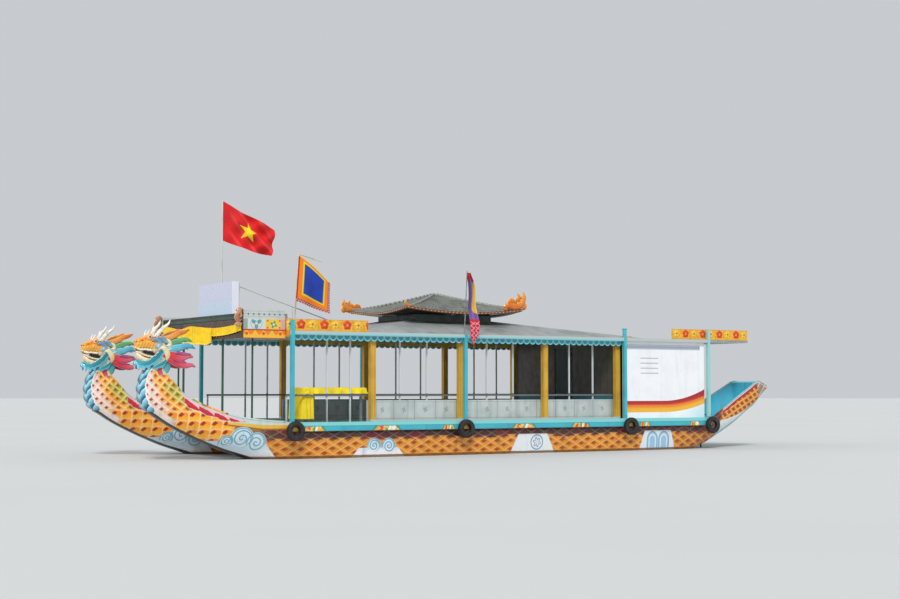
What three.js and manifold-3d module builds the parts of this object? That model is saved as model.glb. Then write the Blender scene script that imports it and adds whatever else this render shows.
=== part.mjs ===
// Dragon boat: a twin-hulled river boat with a cabin and two carved dragon heads.
// Millimetres. +X to the bow, +Y to port, +Z up. Z = 0 is the flat underside of the hulls.
import * as THREE from "three";
import { mergeVertices } from "three/addons/utils/BufferGeometryUtils.js";
import Module from "manifold-3d";

const wasm = await Module();
wasm.setup();

// Driving dimensions
const GAP = 0.3;
const HULL_Y = 1650;
const DECK = { aft: -6400, fore: 5560, half: 2400, bottom: 1030, top: 1180 };
const FORE_DECK = { fore: 6650, half: 1100, top: 1190 };
const RAIL = { aft: -6380, fore: 5610, inner: 2400.3, outer: 2520, bottom: 1000, top: 1200 };
const EAVES = { bottom: 3130, top: 3190, half: 2410 };
const POST = { inner: 2420, outer: 2500, half: 40, bottom: 1020, beam: 75 };
const PILLAR = { inner: 2200, outer: 2320, half: 65, sill: 1230, head: 3050 };
const PILLAR_XS = [3470, 1115, -1295, -3500];
const LOW_WALL = { inner: 2110, outer: 2140, top: 1670, handrail: 1800, rod: 17 };
const ROD_XS = [4550, 3960, 2670, 1950, 290, -460, -2130, -2850];
const CABIN_AFT = { fore: -3600, aft: -6240, inner: 2360, outer: 2399 };
const DOORWAY = { half: 400, top: 2980, step: 20 };
const ROOF_AFT = -7740;
const HIP = { fore: 3600, aft: -4300, topFore: 1550, topAft: -750, topHalf: 700, top: 3600 };
const HIP_SHELL = { wall: 40, rim: 250 };
const CANOPY = { aft: 5600, fore: 6700, half: 2330, edge: 60, ceiling: 3500, roof: 3560 };
const FASCIA = { aft: 5680, top: 3630, bottom: 3010, frontTop: 3420 };
const CANOPY_BEAM = { side: 2240, half: 30, bottom: 3440 };
const VALANCE = { fore: 5500, bottom: 2985, high: 3030, thick: 14, scallops: 36 };
const BOARD = { top: 3450, thick: 30 };
const PAVILION = {
  x: 430, halfX: 1650, halfY: 1450, eaves: 3720, cornerLift: 120, peak: 4260, inset: 560, wall: 40,
};
const SIGN = { x: 6280, deep: 170, port: 850, starboard: -1000, bottom: 3560.3, top: 4330 };
const FLAGPOLE = { y: -120, foot: 3830, top: 6270, radius: 16 };
const FESTIVAL_POLE = { y: 1200, footX: 4905, foot: 3150, topX: 4795, top: 5010, radius: 16 };
const PENNANT_POLE = { y: 2380, footX: 1080, foot: 3150, topX: 1000, top: 4680, radius: 12 };
const SWAG = { half: 2300, top: 3400, high: 3180, low: 3020, thick: 40, loops: 5 };
const TYRE = { xs: [5540, 1150, -3700, -6360], z: 1010, outer: 215, inner: 95, half: 60, shoulder: 30 };
const PROP = { x: -6260, z: 215, radius: 185, hub: 45, hubFore: 50, hubAft: 60, blades: 3 };
const SHAFT = { fore: -4300, radius: 24, strut: [-6120, -6060] };
const RUDDER = { x: -6760, stock: 22, top: 640, bottom: 20, fore: 90, aft: 330, thick: 28, head: 1260 };
const TABLE = { aft: 3540, fore: 5080, inner: 1480, outer: 2060, top: 1950, thick: 30, leg: 50 };
const CLOTH = { clear: 4, thick: 16, hem: 1800, skirt: 560, skirtHem: 1250 };

// Colours seen on the boat, each with its roughness and metalness
const material = (color, roughness = 0.5, metalness = 0) =>
  new THREE.MeshStandardMaterial({ color, roughness, metalness });
const SCALE_ORANGE = "#e8961e";
const TURQUOISE = "#4fc0cc";
const PILLAR_YELLOW = "#d9a936";
const PANEL_GREY = "#b9c0bf";
const WHITE = "#eef0f2";
const ROOF_GREY = "#8c8f92";
const BLOSSOM_YELLOW = "#f2b21c";
const CLOTH_YELLOW = "#f7d70c";
const FLAG_RED = "#e0161c";
const RUBBER = "#232322";
const STEEL = "#a9adb0";
const BRONZE = "#9a7a3c";

// Geometry and solids
function toSolid(geometry) {
  const plain = geometry.clone();
  for (const name of Object.keys(plain.attributes)) if (name !== "position") plain.deleteAttribute(name);
  const merged = mergeVertices(plain, 1e-3);
  const solid = new wasm.Manifold(
    new wasm.Mesh({
      numProp: 3,
      vertProperties: merged.attributes.position.array,
      triVerts: new Uint32Array(merged.index.array),
    }),
  );
  return solid;
}

function toGeometry(solid, flipped = false) {
  const mesh = solid.getMesh();
  const stride = mesh.numProp;
  const positions = new Float32Array(mesh.numVert * 3);
  for (let i = 0; i < mesh.numVert; i++) {
    positions.set(mesh.vertProperties.subarray(i * stride, i * stride + 3), i * 3);
    if (flipped) positions[i * 3 + 1] *= -1;
  }
  const triangles = new Uint32Array(mesh.triVerts);
  if (flipped)
    for (let i = 0; i < triangles.length; i += 3)
      [triangles[i + 1], triangles[i + 2]] = [triangles[i + 2], triangles[i + 1]];
  const geometry = new THREE.BufferGeometry();
  geometry.setAttribute("position", new THREE.BufferAttribute(positions, 3));
  geometry.setIndex(new THREE.BufferAttribute(triangles, 1));
  geometry.computeVertexNormals();
  return geometry;
}

const join = (...solids) => solids.flat().reduce((whole, next) => whole.add(next));
const cut = (solid, ...tools) => tools.flat().reduce((rest, tool) => rest.subtract(tool), solid);

const mirrored = (solid) => toSolid(toGeometry(solid, true));

function block(x0, x1, y0, y1, z0, z1) {
  const box = new THREE.BoxGeometry(x1 - x0, y1 - y0, z1 - z0);
  return toSolid(box.translate((x0 + x1) / 2, (y0 + y1) / 2, (z0 + z1) / 2));
}

// A straight round bar between two points.
function bar(from, to, radius, sides = 10, endRadius = radius) {
  const start = new THREE.Vector3(...from);
  const end = new THREE.Vector3(...to);
  const along = end.clone().sub(start);
  const geometry = new THREE.CylinderGeometry(endRadius, radius, along.length(), sides);
  const turn = new THREE.Quaternion().setFromUnitVectors(
    new THREE.Vector3(0, 1, 0),
    along.clone().normalize(),
  );
  geometry.applyQuaternion(turn).translate(...start.add(end).multiplyScalar(0.5).toArray());
  return toSolid(geometry);
}

// An outline in X and Z, extruded along Y from y0 to y1.
function plateXZ(points, y0, y1, curve = false) {
  const shape = new THREE.Shape();
  const flat = points.map(([x, z]) => new THREE.Vector2(x, z));
  const smooth = new THREE.SplineCurve([...flat, flat[0]]).getPoints(flat.length * 3).slice(0, -1);
  shape.setFromPoints(curve ? smooth : flat);
  const geometry = new THREE.ExtrudeGeometry(shape, { depth: y1 - y0, bevelEnabled: false });
  geometry.rotateX(Math.PI / 2).translate(0, y1, 0);
  return toSolid(geometry);
}

// An outline in Y and Z, extruded along X from x0 to x1.
function plateYZ(points, x0, x1) {
  const shape = new THREE.Shape(points.map(([y, z]) => new THREE.Vector2(y, z)));
  const geometry = new THREE.ExtrudeGeometry(shape, { depth: x1 - x0, bevelEnabled: false });
  geometry.rotateX(Math.PI / 2).rotateZ(Math.PI / 2).translate(x0, 0, 0);
  return toSolid(geometry);
}

// A closed skin over rings that all have the same number of points.
function loft(rings) {
  const count = rings[0].length;
  const points = rings.flat();
  const faces = [];
  for (let ring = 0; ring < rings.length - 1; ring++)
    for (let i = 0; i < count; i++) {
      const a = ring * count + i;
      const b = ring * count + ((i + 1) % count);
      faces.push(a, b, b + count, a, b + count, a + count);
    }
  for (const [first, turn] of [[0, 1], [(rings.length - 1) * count, 0]])
    for (let i = 1; i < count - 1; i++)
      faces.push(first, ...(turn ? [first + i + 1, first + i] : [first + i, first + i + 1]));
  const geometry = new THREE.BufferGeometry().setFromPoints(points);
  geometry.setIndex(signedVolume(points, faces) < 0 ? faces.reverse() : faces);
  return toSolid(geometry);
}

function signedVolume(points, faces) {
  let sum = 0;
  for (let i = 0; i < faces.length; i += 3)
    sum += points[faces[i]].dot(points[faces[i + 1]].clone().cross(points[faces[i + 2]]));
  return sum / 6;
}

// One section of a hull or neck, from its lower point to its upper point in X and Z.
const SECTION = [[0, 0], [0.07, 0.28], [0.2, 0.58], [0.42, 0.8], [0.7, 0.94], [1, 1]];
function section([lowX, lowZ], [highX, highZ], halfLow, halfHigh, y = HULL_Y, steps = SECTION) {
  const side = (sign) =>
    steps.map(([rise, spread]) => {
      const half = halfLow + (halfHigh - halfLow) * spread;
      return new THREE.Vector3(lowX + (highX - lowX) * rise, y + sign * half, lowZ + (highZ - lowZ) * rise);
    });
  return [...side(-1), ...side(1).reverse()];
}

// Hulls. Columns: x, sheer height, keel height, half breadth at the sheer, half breadth at the bottom
const HULL_STATIONS = [
  [-8850, 1990, 1950, 330, 270],
  [-8620, 2060, 1760, 400, 280],
  [-8350, 2130, 1530, 470, 330],
  [-8050, 1980, 1360, 520, 360],
  [-7500, 1690, 1030, 570, 400],
  [-6900, 1360, 740, 650, 440],
  [-6500, 1190, 560, 700, 460],
  [-5900, 1190, 360, 740, 500],
  [-5200, 1190, 130, 750, 540],
  [-4500, 1190, 0, 750, 580],
  [4300, 1190, 0, 750, 560],
  [5000, 1190, 90, 750, 500],
  [5600, 1205, 215, 750, 400],
  [6050, 1230, 345, 740, 290],
  [6580, 1290, 510, 700, 190],
  [6900, 1360, 610, 640, 140],
  [7240, 1480, 745, 540, 110],
  [7500, 1590, 855, 450, 95],
];
// Neck. Columns: nape x, nape z, throat x, throat z, half width at the nape, half width at the throat
const NECK_STATIONS = [
  [7500.3, 1590, 7500.3, 855, 450, 95],
  [7780, 1750, 8000, 1095, 360, 90],
  [7970, 1940, 8400, 1330, 310, 110],
  [8080, 2120, 8680, 1560, 280, 150],
  [8150, 2250, 8770, 1840, 250, 170],
  [8190, 2360, 8750, 2090, 230, 160],
  [8210, 2440, 8640, 2330, 220, 150],
];
const WELL = { aft: -8240, fore: -6560, floor: 1100, wall: 70 };

// Stations between the given ones, on a smooth curve through each column.
function smoothed(stations, steps) {
  const made = [];
  for (let i = 0; i < stations.length - 1; i++) {
    const [a, b] = [stations[i], stations[i + 1]];
    const [before, after] = [stations[Math.max(i - 1, 0)], stations[i + 2] ?? b];
    for (let k = 0; k < steps; k++) {
      const t = k / steps;
      made.push(a.map((_, c) => catmullRom(t, before[c], a[c], b[c], after[c])));
    }
  }
  return [...made, stations.at(-1)];
}

function catmullRom(t, p0, p1, p2, p3) {
  const straight = p1 + (p2 - p1) * t;
  const bend = (p2 - p0) / 2 - (p2 - p1);
  const bendAfter = (p3 - p1) / 2 - (p2 - p1);
  return straight + t * (1 - t) * ((1 - t) * bend - t * bendAfter);
}

function hull() {
  const rings = hullRings(0);
  const deckSeat = block(DECK.aft - GAP, DECK.fore + GAP, 0, 3000, DECK.bottom - GAP, 1400);
  const stockBore = bar([RUDDER.x, HULL_Y, 0], [RUDDER.x, HULL_Y, 2000], RUDDER.stock + 0.8, 32);
  return cut(loft(rings), deckSeat, sternWell(), stockBore);
}

const hullRings = (clear) =>
  hullStations().map(([x, top, bottom, halfTop, halfBottom]) =>
    section([x, bottom - clear], [x, top + clear], halfBottom + clear, halfTop + clear),
  );

const hullSolid = () => loft(hullRings(GAP));

// The long middle body is straight, so only the two ends are smoothed.
function hullStations() {
  const aft = HULL_STATIONS.filter(([x]) => x < 0);
  const fore = HULL_STATIONS.filter(([x]) => x > 0);
  return [...smoothed(aft, 3), ...smoothed(fore, 3)];
}

// The open well in the raised stern.
function sternWell() {
  // Columns: x, floor height, half breadth
  const stations = [
    [WELL.aft, 1620, 380],
    [-7900, 1420, 440],
    [-7300, WELL.floor, 480],
    [WELL.fore, WELL.floor, 560],
  ];
  return loft(
    stations.map(([x, floor, half]) =>
      section([x, floor], [x, 2400], half - WELL.wall, half, HULL_Y, [[0, 0], [0.3, 1], [1, 1.1]]),
    ),
  );
}

function neck() {
  return loft(
    smoothed(NECK_STATIONS, 3).map(([napeX, napeZ, throatX, throatZ, halfNape, halfThroat]) =>
      section([throatX, throatZ], [napeX, napeZ], halfThroat, halfNape),
    ),
  );
}

// Dragon head. Columns: x, upper height, lower height, half width
const SKULL_STATIONS = [
  [8010, 2950, 2560, 150],
  [8150, 3020, 2390, 215],
  [8300, 3040, 2390, 240],
  [8450, 3010, 2680, 215],
  [8580, 3080, 2710, 195],
  [8720, 2990, 2720, 165],
  [8850, 2880, 2770, 100],
];
const JAW_STATIONS = [
  [8190, 2700, 2390, 200],
  [8400, 2600, 2350, 190],
  [8600, 2580, 2370, 165],
  [8740, 2610, 2430, 130],
  [8820, 2640, 2520, 85],
];
const ROUND = [[0, 0.55], [0.2, 0.9], [0.5, 1], [0.8, 0.85], [1, 0.45]];
const roundRings = (stations) =>
  stations.map(([x, top, bottom, half]) => section([x, bottom], [x, top], 0, half, HULL_Y, ROUND));

// A tapered bar through a list of points, each with its radius.
function horn(points) {
  const pieces = points
    .slice(1)
    .map(([x, y, z, radius], i) => bar(points[i].slice(0, 3), [x, y, z], points[i][3], 8, radius));
  return join(pieces);
}

function dragonHead() {
  const horns = [-1, 1].map((side) =>
    horn([
      [8320, HULL_Y + side * 110, 2960, 60],
      [8280, HULL_Y + side * 190, 3140, 46],
      [8150, HULL_Y + side * 250, 3270, 30],
      [8085, HULL_Y + side * 270, 3390, 8],
    ]),
  );
  const skull = cut(join(loft(roundRings(SKULL_STATIONS)), loft(roundRings(JAW_STATIONS))), neckSeat());
  return join(skull, horns);
}

// The neck's upper end with its gap, which the head stands on.
function neckSeat() {
  const [napeX, napeZ, throatX, throatZ] = NECK_STATIONS.at(-1);
  const reach = 400;
  const rise = (reach * (napeZ - throatZ)) / (throatX - napeX);
  const line = [[napeX - reach, napeZ + rise + GAP], [throatX + reach, throatZ - rise + GAP]];
  return plateXZ([...line, [throatX, napeZ - 700]], HULL_Y - 600, HULL_Y + 600);
}

// The waves that stream back from the head: distance from the middle, half width, outline in X and Z
const MANE = [
  [0, 60, [[8060, 2900], [8130, 3060], [7950, 3150], [7830, 3100], [7680, 3180], [7800, 3010]]],
  [120, 35, [[8050, 2850], [8060, 3010], [7900, 3000], [7780, 3030], [7580, 2950], [7800, 2890]]],
  [165, 35, [[8050, 2700], [8060, 2890], [7880, 2830], [7720, 2880], [7530, 2790], [7800, 2740]]],
  [205, 35, [
    [8050, 2480], [8060, 2700], [7890, 2720], [7440, 2560], [7700, 2540], [7600, 2390], [7900, 2440],
  ]],
];

function dragonMane() {
  const root = block(7950, 8009.7, HULL_Y - 235, HULL_Y + 235, 2520, 2960);
  const waves = MANE.flatMap(([y, half, outline]) =>
    (y ? [-1, 1] : [1]).map((side) => {
      const centre = HULL_Y + side * y;
      return plateXZ(outline, centre - half, centre + half, true);
    }),
  );
  return cut(join(root, waves), block(8009.7, 8400, 0, 3000, 2000, 3500));
}

// Decks and side frames
const mainDeck = () => block(DECK.aft, DECK.fore, -DECK.half, DECK.half, DECK.bottom, DECK.top);

function foreDeck() {
  const { fore, half, top } = FORE_DECK;
  const bridge = block(DECK.fore + GAP, fore, -half, half, DECK.bottom, top);
  return cut(bridge, hullSolid(), mirrored(hullSolid()));
}

function sideFrame() {
  const rail = block(RAIL.aft, RAIL.fore, RAIL.inner, RAIL.outer, RAIL.bottom, RAIL.top);
  // Columns: x, top of the post
  const posts = [[5570, BOARD.top - 20], [1100, EAVES.top], [-3600, EAVES.top], [-6330, BOARD.top - 20]];
  const { inner, outer, half, bottom } = POST;
  const [fore, aft] = [posts[0][0] + half, posts.at(-1)[0] - half];
  const beam = block(aft, fore, EAVES.half + GAP, outer - 10, EAVES.top - POST.beam, EAVES.top);
  return join(rail, beam, posts.map(([x, top]) => block(x - half, x + half, inner, outer, bottom, top)));
}

function pillarFrame() {
  const { inner, outer, half, sill, head } = PILLAR;
  const [aft, fore] = [PILLAR_XS.at(-1) - half, PILLAR_XS[0] + half];
  return join(
    block(aft, fore, inner, outer, DECK.top + GAP, sill),
    block(aft, fore, inner, outer, head, EAVES.bottom - GAP),
    PILLAR_XS.map((x) => block(x - half, x + half, inner, outer, sill - 30, head + 50)),
  );
}

// Grey panels below a handrail that runs on to the first bay, with thin rods up to the eaves.
function lowWall() {
  const { inner, outer, top, handrail, rod } = LOW_WALL;
  const [aft, fore] = [PILLAR_XS.at(-1) - PILLAR.half, PILLAR_XS[0] + PILLAR.half];
  const bayFore = DECK.fore;
  const upright = (x, low, high) => block(x - rod, x + rod, inner, outer, low, high);
  return join(
    block(aft, fore, inner, outer, DECK.top + GAP, top),
    block(aft, bayFore, inner, outer + 19, handrail - 40, handrail),
    upright(bayFore - rod, DECK.top + GAP, handrail),
    ROD_XS.map((x) => upright(x, x > fore ? DECK.top + GAP : top - 10, EAVES.bottom - GAP)),
  );
}

// Aft cabin
const aftPanel = () =>
  block(CABIN_AFT.aft, CABIN_AFT.fore, CABIN_AFT.inner, CABIN_AFT.outer, DECK.top + GAP, EAVES.bottom - GAP);

function bulkhead(x0, x1, half) {
  const wall = block(x0, x1, -half, half, DECK.top + GAP, EAVES.bottom - GAP);
  const sill = DECK.top + DOORWAY.step;
  return cut(wall, block(x0 - 50, x1 + 50, -DOORWAY.half, DOORWAY.half, sill, DOORWAY.top));
}

// Roofs
const rectangle = (x0, x1, half, z) =>
  [[x0, -half], [x1, -half], [x1, half], [x0, half]].map(([x, y]) => new THREE.Vector3(x, y, z));

// The hipped roof's outside, raised by a clearance and carried down to a lower level.
function hipSolid(clear, low) {
  const { fore, aft, top, topFore, topAft, topHalf } = HIP;
  return loft([
    rectangle(aft, fore, EAVES.half, low),
    rectangle(aft, fore, EAVES.half, EAVES.top + clear),
    rectangle(topAft, topFore, topHalf, top + clear),
  ]);
}

const ROOF_BELOW = 2800;
function mainRoof() {
  const { fore, aft, top, topFore, topAft, topHalf } = HIP;
  const { wall, rim } = HIP_SHELL;
  const inside = loft([
    rectangle(aft + rim, fore - rim, EAVES.half - rim, EAVES.bottom - 10),
    rectangle(aft + rim, fore - rim, EAVES.half - rim, EAVES.top - 10),
    rectangle(topAft, topFore, topHalf, top - wall),
  ]);
  return cut(hipSolid(0, EAVES.bottom), inside);
}

const flatRoof = (x0, x1) => block(x0, x1, -EAVES.half, EAVES.half, EAVES.bottom, EAVES.top);
const aftRoof = () => flatRoof(ROOF_AFT, HIP.aft - GAP);
const foreRoof = () => flatRoof(HIP.fore + GAP, CANOPY.aft);

function canopyRoof() {
  const { aft, fore, half, edge, ceiling, roof } = CANOPY;
  const inner = half - edge;
  const slab = block(aft + GAP, fore - edge, -inner, inner, ceiling, roof);
  return join(slab, block(aft + GAP, aft + edge, -inner, inner, EAVES.bottom, ceiling + 20));
}

// Painted boards round three sides of the canopy, the front one lower.
function canopyFascia() {
  const { aft, fore, half, edge } = CANOPY;
  const { top, bottom, frontTop } = FASCIA;
  const inner = half - edge;
  const room = block(aft, fore - edge + GAP, -inner - GAP, inner + GAP, bottom - 50, top + 50);
  const front = block(fore - 200, fore + 10, -inner, inner, frontTop, top + 50);
  return cut(block(FASCIA.aft, fore, -half, half, bottom, top), room, front);
}

function canopyFrame() {
  const { side, half, bottom } = CANOPY_BEAM;
  const top = CANOPY.ceiling - GAP;
  const fore = CANOPY.fore - CANOPY.edge;
  const outer = side + half;
  const cross = (x) => block(x - half, x + half, -outer, outer, bottom, top);
  // Columns: x, distance from the centre line, foot, radius
  const posts = [[6330, 2050, 1200, 22], [fore - 40, FORE_DECK.half, 1240, 26]];
  const frame = join(
    cross(6330),
    cross(fore - half),
    [-1, 1].flatMap((sign) => [
      block(FASCIA.aft + 1, fore, sign * side - half, sign * side + half, bottom, top),
      ...posts.map(([x, y, foot, radius]) =>
        bar([x, sign * y, foot], [x, sign * y, bottom + 30], radius),
      ),
    ]),
  );
  return cut(frame, hullSolid(), mirrored(hullSolid()));
}

// A board with a scalloped lower edge, hung below the eaves.
function valance() {
  const { fore, bottom, high, thick, scallops } = VALANCE;
  const aft = CABIN_AFT.fore + 60;
  const step = (fore - aft) / scallops;
  const points = [[fore, EAVES.bottom - GAP], [aft, EAVES.bottom - GAP]];
  for (let i = 0; i < scallops; i++) points.push([aft + i * step, high], [aft + (i + 0.5) * step, bottom]);
  points.push([fore, high]);
  return plateXZ(points, EAVES.half - 2 - thick, EAVES.half - 2);
}

const flowerBoard = (x0, x1) =>
  block(x0, x1, EAVES.half - BOARD.thick, EAVES.half, EAVES.top + GAP, BOARD.top);

// Pavilion on the roof
function pavilionRiser() {
  const { x, halfX, halfY, eaves, inset, wall } = PAVILION;
  const box = (margin, low, high) =>
    block(x - halfX + margin, x + halfX - margin, -halfY + margin, halfY - margin, low, high);
  const low = HIP.top - 200;
  const seat = hipSolid(GAP, ROOF_BELOW);
  return cut(box(inset, low, eaves - GAP), box(inset + wall, low - 100, eaves + 50), seat);
}

// A curled dragon on a roof corner. Columns: distance out from the corner, height over the eaves
const FINIAL = [
  [-420, 130], [-300, 270], [-180, 250], [-60, 320], [60, 430],
  [110, 350], [60, 260], [70, 140], [-120, 125], [-300, 95],
];
const FINIAL_THICK = 70;

function pavilionRoof() {
  const { x, halfX, halfY, eaves, cornerLift, peak } = PAVILION;
  // Columns: share of the half sizes, height, lift of the corners
  const levels = [
    [0.86, eaves, 0],
    [1, eaves, cornerLift],
    [1, eaves + 40, cornerLift],
    [0.62, eaves + 230, 0],
    [0.3, eaves + 385, 0],
    [0.02, peak, 0],
  ];
  const around = [[-1, -1], [0, -1], [1, -1], [1, 0], [1, 1], [0, 1], [-1, 1], [-1, 0]];
  const rings = levels.map(([share, z, lift]) =>
    around.map(([sx, sy]) =>
      new THREE.Vector3(x + sx * halfX * share, sy * halfY * share, z + (sx && sy ? lift : 0)),
    ),
  );
  const finials = [[1, -1], [-1, 1]].map(([sx, sy]) => {
    const outline = FINIAL.map(([along, up]) => [x + sx * (halfX + along), eaves + up]);
    const middle = sy * (halfY - FINIAL_THICK / 2);
    return plateXZ(outline, middle - FINIAL_THICK / 2, middle + FINIAL_THICK / 2, true);
  });
  return join(loft(rings), finials);
}

// Sign box, its frame and the flags
const signBox = () =>
  block(SIGN.x - SIGN.deep, SIGN.x, SIGN.starboard, SIGN.port, SIGN.bottom, SIGN.top);

function signFrame() {
  const half = 20;
  const x = SIGN.x - SIGN.deep - half - GAP;
  const [starboard, port] = [SIGN.starboard + 300, SIGN.port - 60];
  const posts = [starboard, port].map((y) =>
    block(x - half, x + half, y - half, y + half, CANOPY.roof + GAP, SIGN.top - 20),
  );
  const cross = [SIGN.bottom + 110, SIGN.top - 80].map((z) =>
    bar([x, starboard - half, z], [x, port + half, z], 16),
  );
  const pole = bar([x, FLAGPOLE.y, FLAGPOLE.foot], [x, FLAGPOLE.y, FLAGPOLE.top], FLAGPOLE.radius, 12);
  const stay = bar([x, port, SIGN.top - 100], [2900, port, EAVES.top + 40], 14);
  const upright = bar([4740, port, EAVES.bottom + 20], [4740, port, 3800], 10);
  const flat = flatRoof(HIP.fore - 100, CANOPY.aft + 10).translate(0, 0, GAP);
  return cut(join(posts, cross, pole, stay, upright), hipSolid(GAP, ROOF_BELOW), flat);
}

// The flags' outlines in X and Z, each beginning at the top of the hoist
const NATIONAL = [
  [6073.4, 6240], [6073.4, 5340], [5650, 5210], [5190, 5010],
  [4870, 4990], [4780, 5240], [4830, 5690], [5300, 5940],
];
const FESTIVAL = [[4795, 4990], [4905, 3870], [3940, 3690], [4090, 4650]];
const PENNANT = [
  [990, 4640], [900, 4400], [840, 3900], [800, 3600],
  [900, 3330], [1060, 3300], [1120, 3700], [1040, 4200],
];
const nationalFlag = () => plateXZ(NATIONAL, FLAGPOLE.y - 8, FLAGPOLE.y + 8);

function festivalPole() {
  const { y, footX, foot, topX, top, radius } = FESTIVAL_POLE;
  const pole = bar([footX, y, foot], [topX, y, top], radius, 12);
  const batten = bar([topX + 5, y, top - 25], [topX - 595, y, top - 180], 11, 8);
  return cut(join(pole, batten), foreRoof().translate(0, 0, GAP));
}
const festivalFlag = () => {
  const face = FESTIVAL_POLE.y + FESTIVAL_POLE.radius + GAP;
  return plateXZ(FESTIVAL, face, face + 16);
};

function pennantPole() {
  const { y, footX, foot, topX, top, radius } = PENNANT_POLE;
  return cut(bar([footX, y, foot], [topX, y, top], radius, 12), hipSolid(GAP, ROOF_BELOW));
}
const pennant = () => {
  const face = PENNANT_POLE.y + PENNANT_POLE.radius + GAP;
  return plateXZ(PENNANT, face, face + 12);
};

// A cloth in hanging loops along the canopy's front.
function frontSwag() {
  const { half, top, high, low, thick, loops } = SWAG;
  const front = CANOPY.fore + GAP;
  const step = (2 * half) / loops;
  const points = [[-half, top], [half, top], [half, high]];
  for (let i = loops - 1; i >= 0; i--)
    for (const [share, z] of [[0.75, low + 40], [0.5, low], [0.25, low + 40], [0, high]])
      points.push([-half + (i + share) * step, z]);
  return plateYZ(points, front, front + thick);
}

// Tyre fenders and underwater gear
function tyre(x) {
  const { z, outer, inner, half, shoulder } = TYRE;
  // Columns: radius, distance along the axle
  const ring = [
    [inner, -half], [outer - shoulder, -half], [outer, -half + shoulder],
    [outer, half - shoulder], [outer - shoulder, half], [inner, half], [inner, -half],
  ];
  const geometry = new THREE.LatheGeometry(ring.map(([radius, y]) => new THREE.Vector2(radius, y)), 24);
  return toSolid(geometry.translate(x, RAIL.outer + half + GAP, z));
}

function shaft() {
  const fore = PROP.x + PROP.hubFore + GAP;
  const tube = bar([SHAFT.fore, HULL_Y, PROP.z], [fore, HULL_Y, PROP.z], SHAFT.radius, 12);
  const strut = block(...SHAFT.strut, HULL_Y - 12, HULL_Y + 12, PROP.z, 520);
  return cut(join(tube, strut), hullSolid());
}

function propeller() {
  const { x, z, radius, hub, hubFore, hubAft, blades } = PROP;
  const body = bar([x - hubAft, HULL_Y, z], [x + hubFore, HULL_Y, z], hub, 16, hub - 12);
  const turned = Array.from({ length: blades }, (_, i) => {
    const blade = new THREE.BoxGeometry(14, 110, radius - 20);
    blade.translate(0, 0, (radius + 20) / 2);
    blade.rotateZ(0.6).rotateX((i * 2 * Math.PI) / blades).translate(x, HULL_Y, z);
    return toSolid(blade);
  });
  return join(body, turned);
}

function rudder() {
  const { x, stock, top, bottom, fore, aft, thick, head } = RUDDER;
  const collar = WELL.floor + GAP;
  return join(
    block(x - aft, x + fore, HULL_Y - thick / 2, HULL_Y + thick / 2, bottom, top - 60),
    bar([x, HULL_Y, bottom + 20], [x, HULL_Y, head], stock, 32),
    bar([x, HULL_Y, collar], [x, HULL_Y, collar + 30], 2 * stock, 16),
    bar([x, HULL_Y, head - 30], [x - aft - 50, HULL_Y, head], 18),
  );
}

// Table in the first bay and its cloth, with a skirt at the fore end of its outer side
function table() {
  const { aft, fore, inner, outer, top, thick, leg } = TABLE;
  const legs = [aft + leg, fore - 2 * leg].flatMap((x) =>
    [inner + 40, outer - 40 - leg].map((y) =>
      block(x, x + leg, y, y + leg, DECK.top + GAP, top - thick + 10),
    ),
  );
  return join(block(aft, fore, inner, outer, top - thick, top), legs);
}

function tableCloth() {
  const { aft, fore, inner, outer, top } = TABLE;
  const { clear, thick, hem, skirt, skirtHem } = CLOTH;
  const around = (margin, low, high) =>
    block(aft - margin, fore + margin, inner - margin, outer + margin, low, high);
  const cap = cut(around(clear + thick, hem, top + GAP + thick), around(clear, hem - 100, top + GAP));
  const edge = fore + clear + thick;
  return join(cap, block(edge - skirt, edge, outer + clear, outer + clear + thick, skirtHem, hem + 10));
}

// Assembly
const boat = new THREE.Group();
const put = (name, solid, finish, flipped = false) => {
  const mesh = new THREE.Mesh(toGeometry(solid, flipped), finish);
  mesh.name = name;
  boat.add(mesh);
};
const putPair = (name, solid, finish) => {
  put(name + "_port", solid, finish);
  put(name + "_starboard", solid, finish, true);
};

putPair("hull", hull(), material(SCALE_ORANGE));
putPair("neck", neck(), material(SCALE_ORANGE));
putPair("dragon_head", dragonHead(), material(BLOSSOM_YELLOW));
putPair("dragon_mane", dragonMane(), material(TURQUOISE));
put("main_deck", mainDeck(), material(TURQUOISE));
put("fore_deck", foreDeck(), material(TURQUOISE));
putPair("side_frame", sideFrame(), material(TURQUOISE));
putPair("pillar_frame", pillarFrame(), material(PILLAR_YELLOW));
putPair("low_wall", lowWall(), material(PANEL_GREY));
putPair("aft_panel", aftPanel(), material(WHITE));
put("cabin_bulkhead", bulkhead(-3570, -3531, LOW_WALL.inner - GAP), material(PANEL_GREY));
put("aft_bulkhead", bulkhead(-6239, -6200, CABIN_AFT.inner - GAP), material(PANEL_GREY));
put("main_roof", mainRoof(), material(ROOF_GREY));
put("aft_roof", aftRoof(), material(ROOF_GREY));
put("fore_roof", foreRoof(), material(ROOF_GREY));
put("canopy_roof", canopyRoof(), material(ROOF_GREY));
put("canopy_fascia", canopyFascia(), material(WHITE));
put("canopy_frame", canopyFrame(), material(STEEL, 0.4, 0.6));
putPair("valance", valance(), material(TURQUOISE));
putPair("flower_board_fore", flowerBoard(3660, 5590), material(BLOSSOM_YELLOW));
putPair("flower_board_aft", flowerBoard(-7730, -5180), material(BLOSSOM_YELLOW));
put("pavilion_riser", pavilionRiser(), material(ROOF_GREY));
put("pavilion_roof", pavilionRoof(), material(ROOF_GREY));
put("sign_box", signBox(), material(WHITE));
put("sign_frame", signFrame(), material(STEEL, 0.4, 0.6));
put("national_flag", nationalFlag(), material(FLAG_RED, 0.8));
put("festival_pole", festivalPole(), material(STEEL, 0.4, 0.6));
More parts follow.
